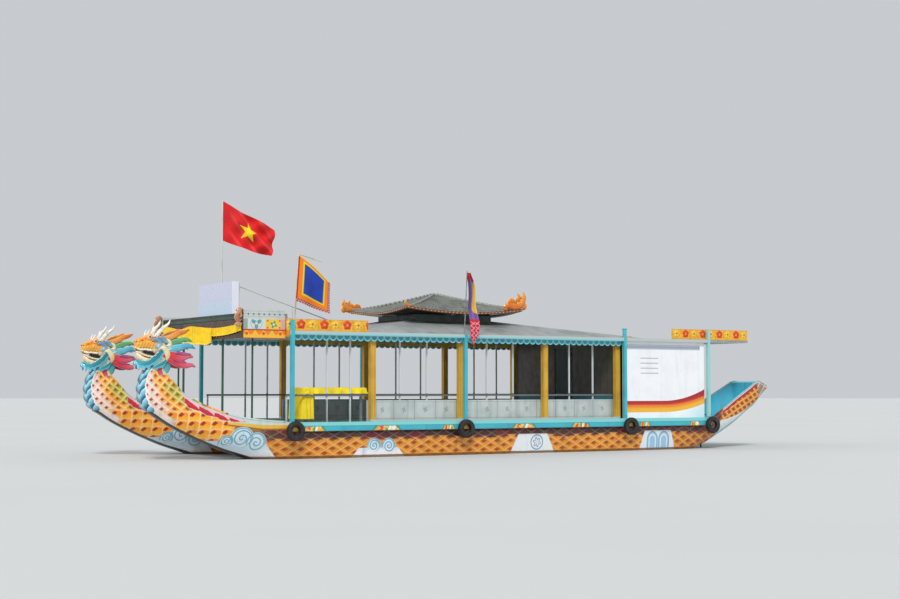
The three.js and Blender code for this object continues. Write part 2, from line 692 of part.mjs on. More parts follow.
put("festival_flag", festivalFlag(), material(BLOSSOM_YELLOW, 0.8));
put("pennant_pole", pennantPole(), material(STEEL, 0.4, 0.6));
put("pennant", pennant(), material(FLAG_RED, 0.8));
put("front_swag", frontSwag(), material(CLOTH_YELLOW, 0.8));
TYRE.xs.forEach((x, i) => putPair("tyre_" + (i + 1), tyre(x), material(RUBBER, 0.85)));
putPair("shaft", shaft(), material(STEEL, 0.4, 0.8));
putPair("propeller", propeller(), material(BRONZE, 0.35, 0.9));
putPair("rudder", rudder(), material(STEEL, 0.5, 0.5));
put("table", table(), material(PILLAR_YELLOW));
put("table_cloth", tableCloth(), material(CLOTH_YELLOW, 0.8));

export default boat;
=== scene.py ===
"""A twin-hulled dragon boat, dressed: painted scales and clouds, carved heads, cloth flags and roofs.

Metres, in the boat's own frame: +X to the bow, +Y to port, +Z up. Z = 0 is the hulls' flat underside.
"""

import math

import bmesh
import bpy
from mathutils import Matrix, Vector


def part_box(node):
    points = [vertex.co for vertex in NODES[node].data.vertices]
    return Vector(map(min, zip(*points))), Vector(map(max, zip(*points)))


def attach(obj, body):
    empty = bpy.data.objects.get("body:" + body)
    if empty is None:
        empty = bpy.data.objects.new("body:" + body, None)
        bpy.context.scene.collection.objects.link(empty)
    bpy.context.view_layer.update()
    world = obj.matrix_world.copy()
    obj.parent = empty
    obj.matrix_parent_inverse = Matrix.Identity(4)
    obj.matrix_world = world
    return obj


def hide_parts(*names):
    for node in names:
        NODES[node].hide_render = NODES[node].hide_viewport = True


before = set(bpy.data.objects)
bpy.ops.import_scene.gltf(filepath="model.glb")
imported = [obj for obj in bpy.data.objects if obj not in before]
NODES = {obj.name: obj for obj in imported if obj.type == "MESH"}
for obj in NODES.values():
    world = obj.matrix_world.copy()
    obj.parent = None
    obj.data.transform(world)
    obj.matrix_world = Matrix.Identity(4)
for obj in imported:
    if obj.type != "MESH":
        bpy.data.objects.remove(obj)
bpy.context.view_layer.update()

WATERLINE = 0.40
HULL_Y = 1.65
DECK_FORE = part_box("main_deck")[1].x
DECK_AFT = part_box("main_deck")[0].x
DECK_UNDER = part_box("main_deck")[0].z
TURN = 2 * math.pi
WELD = 2e-5
# The ending of a side's names, and whether its mesh is the port one turned over
SIDES = (("_port", False), ("_starboard", True))


# Colours and materials

def tint(code):
    """A colour from its web code, in the linear values that a shader takes."""
    parts = [int(code[i:i + 2], 16) / 255 for i in (1, 3, 5)]
    linear = [c / 12.92 if c <= 0.04045 else ((c + 0.055) / 1.055) ** 2.4 for c in parts]
    return (*linear, 1.0)


class Value:
    """A number inside a material. Arithmetic on it adds the nodes that work it out."""

    def __init__(self, paint, socket):
        self.paint, self.socket = paint, socket

    def math(self, operation, *others):
        return self.paint.node("ShaderNodeMath", {"operation": operation}, [self, *others])

    def __add__(self, other):
        return self.math("ADD", other)

    def __sub__(self, other):
        return self.math("SUBTRACT", other)

    def __mul__(self, other):
        return self.math("MULTIPLY", other)

    def __truediv__(self, other):
        return self.math("DIVIDE", other)

    def __rsub__(self, other):
        return self.paint.node("ShaderNodeMath", {"operation": "SUBTRACT"}, [other, self])

    __radd__ = __add__
    __rmul__ = __mul__

    def __abs__(self):
        return self.math("ABSOLUTE")

    def sine(self):
        return self.math("SINE")

    def part(self):
        return self.math("FRACT")

    def whole(self):
        return self.math("FLOOR")

    def cosine(self):
        return self.math("COSINE")

    def reach(self, other):
        """The distance that two lengths at right angles make."""
        return (self * self + other * other).math("SQRT")

    def least(self, other):
        return self.math("MINIMUM", other)

    def most(self, other):
        return self.math("MAXIMUM", other)

    def rise(self, start, end):
        """0 before start and 1 after end, with a soft step between. It falls where start is the larger."""
        return self.paint.node(
            "ShaderNodeMapRange",
            {"interpolation_type": "SMOOTHSTEP"},
            {"Value": self, "From Min": start, "From Max": end},
        )

    def band(self, low, high, soft=0.004):
        """1 between low and high."""
        return self.rise(low - soft, low + soft) * self.rise(high + soft, high - soft)

    def line(self, every, width, soft=0.3):
        """1 on thin lines that come once for each distance."""
        away = abs((self / every + 0.5).part() - 0.5) * every
        return away.rise(width / 2 * (1 + soft), width / 2 * (1 - soft))


class Paint:
    """A material on one shader, with its colour laid on in coats."""

    def __init__(self, name, base, roughness=0.5, metallic=0.0, coat=0.0):
        self.material = bpy.data.materials.new(name)
        self.material.use_nodes = True
        self.tree = self.material.node_tree
        self.shader = self.tree.nodes["Principled BSDF"]
        self.colour = tint(base)
        self.give("Base Color", self.colour)
        self.give("Roughness", roughness)
        self.give("Metallic", metallic)
        self.give("Coat Weight", coat)
        self.height = None

    def node(self, kind, settings=None, inputs=(), output=0):
        made = self.tree.nodes.new(kind)
        for key, value in (settings or {}).items():
            setattr(made, key, value)
        pairs = inputs.items() if isinstance(inputs, dict) else enumerate(inputs)
        for key, value in pairs:
            self.feed(made.inputs[key], value)
        return Value(self, made.outputs[output])

    def feed(self, socket, value):
        if isinstance(value, Value):
            self.tree.links.new(value.socket, socket)
        else:
            socket.default_value = value

    def give(self, socket, value):
        self.feed(self.shader.inputs[socket], value)

    def split(self, vector):
        apart = self.node("ShaderNodeSeparateXYZ", inputs=[vector]).socket.node
        return [Value(self, apart.outputs[i]) for i in range(3)]

    def place(self):
        """The point's x, y and z on the boat."""
        return self.split(self.node("ShaderNodeTexCoord", output="Object"))

    def chart(self, name="skin"):
        """The two values of a piece's own UV map."""
        return self.split(self.node("ShaderNodeUVMap", {"uv_map": name}))[:2]

    def noise(self, scale, detail=2.0, stretch=(1, 1, 1)):
        where = self.node("ShaderNodeTexCoord", output="Object")
        scaled = self.node("ShaderNodeVectorMath", {"operation": "MULTIPLY"}, [where, stretch])
        return self.node("ShaderNodeTexNoise", {}, {"Vector": scaled, "Scale": scale, "Detail": detail})

    def mix(self, share, first, second):
        first, second = (tint(c) if isinstance(c, str) else c for c in (first, second))
        return self.node("ShaderNodeMix", {"data_type": "RGBA"}, {0: share, 6: first, 7: second}, output=2)

    def lay(self, mask, colour):
        """Lays a colour, or a mixed one, over what is there, where the mask is 1."""
        self.colour = self.mix(mask, self.colour, colour)
        self.give("Base Color", self.colour)

    def uneven(self, darker, amount=0.5, scale=2.5):
        """A second tone in soft patches, as old paint has."""
        self.lay(self.noise(scale, 5.0).rise(0.42, 0.68) * amount, darker)

    def grime(self, amount=0.35, colour="#4a3c2c"):
        """Streaks of dirt that run down the surface."""
        streak = self.noise(7.0, 4.0, (1, 1, 0.14)).rise(0.5, 0.78)
        self.lay(streak * amount, colour)

    def relief(self, height, depth=0.004, strength=0.7):
        """Raises the surface where height is 1, by depth in metres."""
        self.height = height if self.height is None else self.height + height
        inputs = {"Strength": strength, "Distance": depth, "Height": self.height}
        self.give("Normal", self.node("ShaderNodeBump", {}, inputs, output="Normal"))

    def brushed(self, depth=0.0015, scale=40.0):
        """Fine upright strokes."""
        self.relief(self.noise(scale, 3.0, (0.15, 0.15, 1)), depth, 0.5)

    def worn(self, low, high):
        """Roughness that changes from patch to patch."""
        patch = self.noise(6.0, 4.0)
        self.give("Roughness", low + patch.rise(0.3, 0.7) * (high - low))


# Shapes

POD_SQUARENESS = 0.85
LEAF_FLATNESS = 0.75
CURVE_STEP = 0.01


def between(rows, share):
    """The values at a share of the way along a table of rows, on a smooth curve."""
    reach = min(max(share, 0.0), 1.0) * (len(rows) - 1)
    i = min(int(reach), len(rows) - 2)
    t = reach - i
    a, b = rows[i], rows[i + 1]
    before, after = rows[max(i - 1, 0)], rows[min(i + 2, len(rows) - 1)]
    result = []
    for p0, p1, p2, p3 in zip(before, a, b, after):
        result.append(
            p1 + 0.5 * t * (p2 - p0 + t * (2 * p0 - 5 * p1 + 4 * p2 - p3 + t * (3 * (p1 - p2) + p3 - p0)))
        )
    return result


def ahead_at(rows, along):
    """The way in which a curve runs. Its rows begin with x, y and z."""
    after = between(rows, min(along + CURVE_STEP, 1))
    before = between(rows, max(along - CURVE_STEP, 0))
    return Vector(after[:3]) - Vector(before[:3])


def linked(bm, name, paint, slot, smooth=True, body="root", stands_for=(), flip=False):
    """Makes the object of a mesh and ties it to the boat."""
    if flip:
        bmesh.ops.scale(bm, vec=(1, -1, 1), verts=bm.verts)
        bmesh.ops.reverse_faces(bm, faces=bm.faces)
    mesh = bpy.data.meshes.new(name)
    bm.to_mesh(mesh)
    for face in mesh.polygons:
        face.use_smooth = smooth
    piece = bpy.data.objects.new(name, mesh)
    bpy.context.scene.collection.objects.link(piece)
    mesh.materials.append(paint.material)
    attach(piece, body)
    if stands_for:
        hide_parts(*stands_for)
    return piece


def made(bm, name, paint, slot, pair=False, stands_for=(), outward=True, merge=True, **more):
    """One piece, or a port and a starboard one, from a mesh built on the port side or the middle."""
    if merge:
        bmesh.ops.remove_doubles(bm, verts=bm.verts, dist=WELD)
    if outward:
        bmesh.ops.recalc_face_normals(bm, faces=bm.faces)
    for side, flip in SIDES if pair else (("", False),):
        nodes = [node + side for node in stands_for]
        piece = linked(bm, name + side, paint, slot, stands_for=nodes, flip=flip, **more)
    bm.free()
    return piece


def surface(bm, along, across, place, closed=False, charts=None):
    """A grid bent into shape. place gives the point for the shares along and across the grid.

    charts name the pairs of values that a pattern reads there; without them they are the shares themselves.
    """
    part = bmesh.new()
    charts = charts or {"skin": lambda *shares: shares}
    layers = [(part.loops.layers.uv.new(name), chart) for name, chart in charts.items()]
    bmesh.ops.create_grid(part, x_segments=across, y_segments=along, size=0.5)
    for face in part.faces:
        for loop in face.loops:
            shares = (loop.vert.co.y + 0.5, loop.vert.co.x + 0.5)
            for layer, chart in layers:
                loop[layer].uv = chart(*shares)
    for vert in part.verts:
        vert.co = Vector(place(vert.co.y + 0.5, vert.co.x + 0.5))
    if closed:
        bmesh.ops.remove_doubles(part, verts=part.verts, dist=WELD)
        bmesh.ops.holes_fill(part, edges=[e for e in part.edges if e.is_boundary], sides=0)
        bmesh.ops.recalc_face_normals(part, faces=part.faces)
    add_to(bm, part)


def add_to(bm, part):
    """Moves a part's mesh into a larger one."""
    held = bpy.data.meshes.new("held")
    part.to_mesh(held)
    part.free()
    bm.from_mesh(held)
    bpy.data.meshes.remove(held)


def ribbon(bm, rows, thick, sides, steps, frill=(0, 0.0)):
    """A leaf or tongue, wide in the plane of X and Z and thick across it.

    Each row is x, y, z and half width. frill is a count and depth of waves on the lower edge.
    """
    widest = max(row[3] for row in rows)

    def place(along, across):
        *centre, half = between(rows, along)
        ahead = ahead_at(rows, along)
        normal = Vector((-ahead.z, 0, ahead.x)).normalized()
        angle = TURN * across
        reach = math.copysign(abs(math.cos(angle)) ** LEAF_FLATNESS, math.cos(angle))
        if reach < 0 and frill[0]:
            reach *= 1 + frill[1] * math.sin(TURN * frill[0] * along)
        depth = thick * math.sin(angle) * min(1, half / (0.6 * widest))
        return Vector(centre) + normal * half * reach + Vector((0, depth, 0))

    surface(bm, steps, sides, place, closed=True)


def pod(bm, stations, sides, steps):
    """A rounded body along X in a hull's middle. Each station is x, top, bottom and half width."""
    def place(along, across):
        x, top, bottom, half = between(stations, along)
        angle = TURN * across
        c, s = math.cos(angle), math.sin(angle)
        wide = math.copysign(abs(c) ** POD_SQUARENESS, c)
        high = math.copysign(abs(s) ** POD_SQUARENESS, s)
        return x, HULL_Y + half * wide, (top + bottom) / 2 + (top - bottom) / 2 * high

    surface(bm, steps, sides, place, closed=True)


def pipe(bm, points, radii, sides, steps=None, side=(0, 1, 0)):
    """A round bar along a smooth curve through points, with a radius or a list of them."""
    radii = radii if isinstance(radii, (list, tuple)) else [radii, radii]

    def place(along, across):
        ahead = ahead_at(points, along)
        first = ahead.cross(Vector(side)).normalized()
        second = ahead.cross(first).normalized()
        angle = TURN * across
        radius = between([(value,) for value in radii], along)[0]
        return Vector(between(points, along)) + (first * math.cos(angle) + second * math.sin(angle)) * radius

    surface(bm, steps or 4 * (len(points) - 1), sides, place, closed=True)


def rod(bm, start, end, radius, end_radius=None, sides=12):
    """A round bar between two points."""
    start, end = Vector(start), Vector(end)
    turn = (end - start).to_track_quat("Z", "Y").to_matrix().to_4x4()
    bmesh.ops.create_cone(
        bm, cap_ends=True, segments=sides, radius1=radius,
        radius2=radius if end_radius is None else end_radius, depth=(end - start).length,
        matrix=Matrix.Translation((start + end) / 2) @ turn,
    )


def block(bm, low, high, bevel):
    """A box between two corners, with its edges eased."""
    part = bmesh.new()
    bmesh.ops.create_cube(part, size=1)
    bmesh.ops.scale(part, vec=Vector(high) - Vector(low), verts=part.verts)
    bmesh.ops.translate(part, vec=(Vector(high) + Vector(low)) / 2, verts=part.verts)
    bmesh.ops.bevel(
        part, geom=part.edges[:], offset=bevel, affect="EDGES", segments=2, profile=0.5, material=-1,
    )
    add_to(bm, part)


def ball(bm, centre, radius, stretch=(1, 1, 1), detail=2):
    """A ball, drawn out along the axes."""
    part = bmesh.new()
    bmesh.ops.create_icosphere(part, subdivisions=detail, radius=radius)
    bmesh.ops.scale(part, vec=stretch, verts=part.verts)
    bmesh.ops.translate(part, vec=centre, verts=part.verts)
    add_to(bm, part)


def dress(paint, *names):
    """Gives CAD nodes their finish."""
    for name in names:
        for held in NODES[name].material_slots:
            held.material = paint.material


def pair_of(*names):
    """The port and the starboard node of each name."""
    return [name + side for name in names for side, _ in SIDES]


# Painted patterns

def film(name, base, darker, roughness=0.42, amount=0.5, coat=0.15, grime=0.25):
    """Brushed house paint."""
    paint = Paint(name, base, roughness, coat=coat)
    paint.uneven(darker, amount)
    paint.grime(grime)
    paint.brushed()
    paint.worn(roughness - 0.08, roughness + 0.15)
    return paint


def cell_tone(paint, first, second):
    """A number for each cell of two counts."""
    where = paint.node("ShaderNodeCombineXYZ", {}, [first.whole(), second.whole(), 0.0])
    return paint.node("ShaderNodeTexWhiteNoise", {"noise_dimensions": "2D"}, {"Vector": where})


def scale_net(paint, across, up, line, dot, shift):
    """A net of diamonds: its lines, the dark spot in each cell, the height in it and its tone."""
    rising, falling = across + up, across - up
    first, second = rising.part() - 0.5, falling.part() - 0.5
    edge = abs(first).most(abs(second))
    level, side = (first - second) * 0.5, (first + second) * 0.5
    lines = edge.rise(0.5 - line * 1.4, 0.5 - line * 0.6)
    spots = (abs(side - shift[0]) + abs(level - shift[1])).rise(dot * 1.2, dot * 0.75)
    return lines, spots, level, cell_tone(paint, rising, falling)


def circle(x, z, centre, radius):
    """The distance from a centre in the plane of two lengths, as a share of a radius, and the angle."""
    across, up = (x - centre[0]) / radius, (z - centre[1]) / radius
    return across.reach(up), up.math("ARCTAN2", across)


def scale_rows(paint, across, up, line, dot):
    """Upright rows of round-topped scales, with what scale_net gives."""
    side = (across + 0.3).part() - 0.5
    raised = up + side * side * 0.9 + 0.62
    level = raised.part() - 0.5
    lines = abs(side).most(abs(level)).rise(0.5 - line * 1.4, 0.5 - line * 0.6)
    spots = (abs(side + 0.19) + abs(level - 0.17)).rise(dot * 1.2, dot * 0.7)
    return lines, spots, level, cell_tone(paint, across + 0.3, raised)


def cloud(x, z, curls, front, back, crest):
    """A cloud with a spiral in each curl: where it lies and its lines.

    Each curl is a centre, a radius and a hand. front and back are the base's ends at the waterline.
    """
    slope = ((front - x) * 1.1).least((x - back) * 1.1) + WATERLINE
    mask = (slope.least(crest) - z).rise(0.0, 0.012)
    ink = None
    for centre_x, centre_z, radius, hand in curls:
        away, angle = circle(x, z, (centre_x, centre_z), radius)
        mask = mask.most(away.rise(1.20, 1.15))
        turn = abs((away * 2.2 - angle * (hand / TURN)).part() - 0.5)
        half = min(0.2, 0.031 / radius)
        stroke = turn.rise(half * 1.3, half * 0.7) * away.rise(1.0, 0.93)
        rim = abs(away - 1.06).rise(0.018 / radius, 0.008 / radius) * (z - centre_z).rise(-0.1, 0.0)
        stroke = stroke.most(rim)
        ink = stroke if ink is None else ink.most(stroke)
    return mask, ink


# Hulls and necks

# Columns: x, sheer height, keel height, half breadth at the sheer, half breadth at the bottom
STERN = [
    (-8.85, 1.99, 1.95, 0.33, 0.27),
    (-8.62, 2.06, 1.76, 0.40, 0.28),
    (-8.35, 2.13, 1.53, 0.47, 0.33),
    (-8.05, 1.98, 1.36, 0.52, 0.36),
    (-7.50, 1.69, 1.03, 0.57, 0.40),
    (-6.90, 1.36, 0.74, 0.65, 0.44),
    (-6.50, 1.19, 0.56, 0.70, 0.46),
    (-5.90, 1.19, 0.36, 0.74, 0.50),
    (-5.20, 1.19, 0.13, 0.75, 0.54),
    (-4.50, 1.19, 0.00, 0.75, 0.58),
]
BOW = [
    (4.30, 1.19, 0.00, 0.75, 0.56),
    (5.00, 1.19, 0.09, 0.75, 0.50),
    (5.60, 1.205, 0.215, 0.75, 0.40),
    (6.05, 1.23, 0.345, 0.74, 0.29),
    (6.58, 1.29, 0.51, 0.70, 0.19),
    (6.90, 1.36, 0.61, 0.64, 0.14),
    (7.24, 1.48, 0.745, 0.54, 0.11),
    (7.50, 1.59, 0.855, 0.45, 0.095),
]
# Columns: nape x, nape z, throat x, throat z, half width at the nape, half width at the throat
NECK = [
    (7.50, 1.59, 7.50, 0.855, 0.45, 0.095),
    (7.78, 1.75, 8.00, 1.095, 0.36, 0.09),
    (7.97, 1.94, 8.39, 1.33, 0.31, 0.11),
    (8.11, 2.12, 8.66, 1.56, 0.27, 0.15),
    (8.22, 2.25, 8.74, 1.84, 0.21, 0.16),
    (8.29, 2.36, 8.72, 2.09, 0.18, 0.155),
    (8.31, 2.44, 8.62, 2.33, 0.18, 0.15),
]
# The side's curve. Columns: share of the height, share of the way out from bottom to sheer
FLARE = [(0, 0), (0.07, 0.28), (0.2, 0.58), (0.42, 0.8), (0.7, 0.94), (1, 1)]
SIDE_STEPS = 12
# The open well in the stern. Columns: x, floor height
WELL = [(-8.24, 1.62), (-7.9, 1.42), (-7.3, 1.10), (-6.56, 1.10)]
WELL_WALL = 0.085
PLATE = 0.16
PLATE_DEPTH = 0.03
NECK_START = 7.50
STEPS_PER_ROW = 5
NECK_STEPS = 90
LEDGE = 0.0005
# Marks for the pattern, in place of a depth below the sheer
RIM_MARK = -0.08
WELL_MARK = -0.5


def flare(rise):
    """How far out the side is at a share of its height."""
    for (r0, s0), (r1, s1) in zip(FLARE, FLARE[1:]):
        if rise <= r1:
            return s0 + (s1 - s0) * (rise - r0) / (r1 - r0)
    return 1.0


def hull_sections():
    """Sections from the tail to the chin: run, low point, high point, half widths, top cut and well floor."""
    sections = []

    def add(x, sheer, keel, half, bottom, cut=None, floor=None):
        sections.append((x, (x, keel), (x, sheer), bottom, half, cut, floor))

    for table in (STERN, BOW):
        count = (len(table) - 1) * STEPS_PER_ROW
        marks = sorted({DECK_AFT, DECK_FORE, WELL[0][0], WELL[-1][0]})
        last = None
        for i in range(count + 1):
            row = between(table, i / count)
            for mark in marks:
                if last and last[0] < mark < row[0]:
                    share = (mark - last[0]) / (row[0] - last[0])
                    at = [a + (b - a) * share for a, b in zip(last, row)]
                    for step in (-LEDGE, LEDGE):
                        add(at[0] + step, *at[1:], *top_of(at[0] + step))
            add(*row, *top_of(row[0]))
            last = row
    run = NECK_START
    before = None
    for i in range(NECK_STEPS + 1):
        nape_x, nape_z, throat_x, throat_z, half, low_half = between(NECK, i / NECK_STEPS)
        middle = Vector(((nape_x + throat_x) / 2, (nape_z + throat_z) / 2))
        run += (middle - before).length if before else 0
        before = middle
        if i:
            down = Vector((throat_x - nape_x, throat_z - nape_z)).normalized()
            stand = PLATE_DEPTH * min(1, max(0, (throat_z - 1.34) / 0.14))
            stand *= (((run - NECK_START) / PLATE) % 1) ** 0.7
            throat = Vector((throat_x, throat_z)) + down * stand
            sections.append((run, tuple(throat), (nape_x, nape_z), low_half, half, None, None))
    return sections


def top_of(x):
    """Where the deck or the well cuts the top of a section: the cut's height and the well's floor."""
    if DECK_AFT < x < DECK_FORE:
        return DECK_UNDER - 0.003, None
    if WELL[0][0] < x < WELL[-1][0]:
        for (x0, z0), (x1, z1) in zip(WELL, WELL[1:]):
            if x <= x1:
                return None, z0 + (z1 - z0) * (x - x0) / (x1 - x0)
    return None, None


def section_point(section, i):
    """A point of a section's ring: port side up, across the top or through the well, starboard side down.

    Returns the point, and how far it is below the sheer; on the deck and in the well that is negative.
    """
    low, high, low_half, half, cut, floor = section[1:]
    height = math.dist(low, high)
    top = (cut - low[1]) / (high[1] - low[1]) if cut else 1.0
    last = 2 * SIDE_STEPS + 5
    if i <= SIDE_STEPS or i >= last - SIDE_STEPS:
        side = 1 if i <= SIDE_STEPS else -1
        step = i if side > 0 else last - i
        rise = top * (step / SIDE_STEPS) ** 1.25
        out = low_half + (half - low_half) * flare(rise)
        down = height * (1 - rise)
    else:
        side = 1 if i < SIDE_STEPS + 3 else -1
        rise = top
        rim = low_half + (half - low_half) * flare(rise) - WELL_WALL
        inner = i in (SIDE_STEPS + 2, SIDE_STEPS + 3)
        out = rim - (0.07 if inner else 0.0)
        down = WELL_MARK if inner else RIM_MARK
        if inner and floor:
            rise = (floor - low[1]) / (high[1] - low[1])
    x = low[0] + (high[0] - low[0]) * rise
    z = low[1] + (high[1] - low[1]) * rise
    return (x, HULL_Y + side * out, z), down


def dragon_hulls(paint):
    sections = hull_sections()
    rings, rows = 2 * SIDE_STEPS + 6, len(sections) - 1

    def at(along, across):
        section = sections[round(along * rows)]
        return (section, *section_point(section, round(across * rings) % rings))

    def skin(along, across):
        section, _, down = at(along, across)
        return section[0], down

    def rise(along, across):
        section, _, down = at(along, across)
        height = math.dist(section[1], section[2])
        return max(0.0, height - down), max(down, 0.0) / height

    bm = bmesh.new()
    surface(bm, rows, rings, lambda *s: at(*s)[1], closed=True, charts={"skin": skin, "rise": rise})
    made(bm, "dragon_hull", paint, "hull_paint", pair=True, stands_for=("hull", "neck"), merge=False)


def hull_paint():
    paint = Paint("painted_hull", "#dd8c1a", 0.4, coat=0.25)
    run, down = paint.chart("skin")
    lift, share = paint.chart("rise")
    x, y, z = paint.place()
    out = abs(abs(y) - HULL_Y)

    # The long side: a wide net of ochre scales, darker aft
    lines, spots, level, tone = scale_net(paint, x / 0.38 + 0.65, (z - 0.595) / 0.2, 0.07, 0.24, (0.08, 0.10))
    paint.lay(level.rise(0.3, -0.4) * 0.6, "#f0a425")
    paint.lay(tone * 0.3, "#c9741a")
    paint.lay(x.rise(-4.9, -5.6) * 0.6, "#b9731c")
    paint.lay(lines * 0.8, "#f2b868")
    paint.lay(spots * 0.9, "#9c3a0e")

    # The dark band under the deck, partly its maroon paint and partly painted shade under the rub rail, with
    # the net running on faintly over it
    wave = (x * 2.6).sine() * 0.02 + (x * 6.1).sine() * 0.015
    dark = x.band(-6.9, 6.75, 0.1) * (z + level * 0.10 + wave).rise(0.80, 0.84)
    paint.lay(dark, "#452628")
    paint.lay(dark * paint.noise(3.0, 3.0).rise(0.50, 0.60) * 0.7, "#6b2438")
    paint.lay(dark * paint.noise(1.4, 1.0).rise(0.56, 0.64) * 0.75, "#8d1030")
    paint.lay(dark * paint.noise(5.0, 2.0).rise(0.60, 0.68) * 0.6, "#4f5a32")
    paint.lay(dark * lines * 0.40, "#b39272")

    # The bow's bright upright rows
    rows = scale_rows(paint, (8.15 - x) / 0.228, (z - 1.375) / 0.188, 0.065, 0.29)
    bow = x.rise(6.80, 6.86)
    paint.lay(bow, "#fb9612")
    paint.lay(bow * rows[2].rise(0.25, -0.4) * 0.9, "#ffc326")
    paint.lay(bow * rows[3] * 0.25, "#ef7a14")
    paint.lay(bow * rows[0] * 0.75, "#fcd79c")
    paint.lay(bow * rows[1], "#98260a")
    paint.lay(x.band(6.25, 6.84, 0.06) * z.rise(0.90, 0.96), "#96713f")

    # The neck's net, pinkish white in front, orange in the middle and olive at the nape
    wide = (2.0 - z).most(0.0) * 0.167 + 0.183
    fore = (1.9 - z).most(0.0) * 0.33 + 8.735
    net = scale_net(paint, (fore - x) / wide, (z - 1.99) / 0.2, 0.115, 0.19, (0.0, 0.06))
    neck = z.rise(1.455, 1.47) * x.rise(7.40, 7.48)
    belt = share + (1.9 - z).most(0.0) * -0.35
    front, nape = belt.rise(0.40, 0.60), share.rise(0.40, 0.24) * z.rise(2.16, 1.96)
    paint.lay(neck, "#f29a24")
    paint.lay(neck * net[2].rise(-0.1, -0.4), "#fbb83e")
    paint.lay(neck * nape, paint.mix(net[2].rise(0.3, -0.3), "#8a8a22", "#b9b03c"))
    paint.lay(neck * front, "#f6cdb8")
    paint.lay(neck * net[0], "#fcc97a")
    paint.lay(neck * net[0] * nape, "#dccf70")
    paint.lay(neck * net[0] * front, "#fbeae4")
    ink = paint.mix(nape, paint.mix(front, "#9c4a10", "#7b3a30"), "#66641a")
    paint.lay(neck * net[1] * 0.95, ink)
    slant = x + z * -0.2 - 7.845
    leaf = (x + z * -0.30 - 7.725).rise(0.008, 0.0) * slant.rise(0.0, 0.008) * z.rise(2.16, 2.24)
    paint.lay(leaf, paint.mix(z.rise(2.2, 2.4), "#c4506a", "#b8204c"))
    paint.lay(slant.rise(0.006, -0.006) * z.rise(2.20, 2.24) * neck, "#c8d6a8")
    relief = lines + (rows[0] - lines) * bow
    relief = relief + (net[0] - relief) * neck
    paint.uneven("#b9610f", 0.15, 1.2)

    # The stern: finer scales, a white wedge above a pale green edge, and striped tips
    stern = (x + (z - 0.64) * 0.35).rise(-6.70, -6.76)
    fine = scale_net(paint, (x + z * 0.25) / 0.30, (z - x * 0.12) / 0.19, 0.045, 0.30, (0.0, 0.06))
    paint.lay(stern, "#e48a16")
    paint.lay(stern * fine[2].rise(0.3, -0.4) * 0.7, "#fab02a")
    paint.lay(stern * fine[0] * 0.45, "#f8cf86")
    paint.lay(stern * fine[1] * 0.9, "#8f2c0a")
    wedge = lift - (x + 6.98) * 0.27
    paint.lay(stern * wedge.rise(0.355, 0.335), "#e3e9ea")
    paint.lay(stern * wedge.rise(0.32, 0.10) * 0.35, "#b9d5da")
    paint.lay(stern * lift.rise(0.085, 0.065), "#86c4c2")
    tail = (x + down * 0.5).rise(-8.24, -8.32)
    stripe = x * 0.72 + z * 0.55
    paint.lay(tail, "#8fa3a3")
    paint.lay(tail * stripe.line(0.20, 0.075), "#cf8434")
    paint.lay(tail * (stripe + 0.07).line(0.20, 0.035), "#44898f")
    paint.lay(tail * (stripe - 0.06).line(0.20, 0.025), "#dcd8d0")

    # The edges at the bow: a yellow strip, a pale green wedge, crimson waves and a pale pink rim
    strip = x.band(5.5, 6.98, 0.02)
    low = (x - 6.2).most(0.0) * 0.13 + 1.035
    # The strip's lowest part is darker orange-brown: painted shade under its edge
    paint.lay(strip * (z - low).rise(0.0, 0.006), "#a3651c")
    paint.lay(strip * (z - low).rise(0.028, 0.04), "#e8b63a")
    paint.lay(strip * (z - low - (x - 6.2).most(0.0) * -0.04).rise(0.105, 0.12), "#b8d8d0")
    bow_edge = x.band(6.62, 7.87, 0.02) * z.rise(1.20, 1.24)
    phase = ((7.87 - x) / 0.305).part()
    rough = paint.noise(11.0, 2.0) * 0.05
    deep = (x - 6.6).most(0.0) * 0.045 + rough + 0.035
    upper = phase * phase * phase * 0.07 + 0.045 + rough
    lower = upper.least(0.075) + deep - (phase - 0.45) * (phase - 0.45) * 0.10 + phase * 0.02
    paint.lay(bow_edge * (lower + 0.014 - down).rise(0.0, 0.01), "#f0cdbc")
    paint.lay(bow_edge * (lower - down).rise(0.0, 0.012), "#c9182e")
    paint.lay(bow_edge * (lower - down).rise(0.05, 0.0) * (lower - down).rise(0.0, 0.01) * 0.5, "#86142a")
    paint.lay(bow_edge * (upper - down).rise(0.0, 0.012), "#eeb7be")
    rim = x.band(5.5, 7.94, 0.05)
    paint.lay(rim * down.rise(0.058, 0.048), "#cdc1c6")

    # The edges at the stern: a waved red band under a pale rim
    edge = 0.125 + (run * (TURN / 0.22)).sine() * 0.02
    paint.lay(stern * (1.0 - tail) * (edge - down).rise(0.0, 0.008), "#b01a2a")
    paint.lay(stern * down.rise(0.046, 0.038), "#e2ccd2")

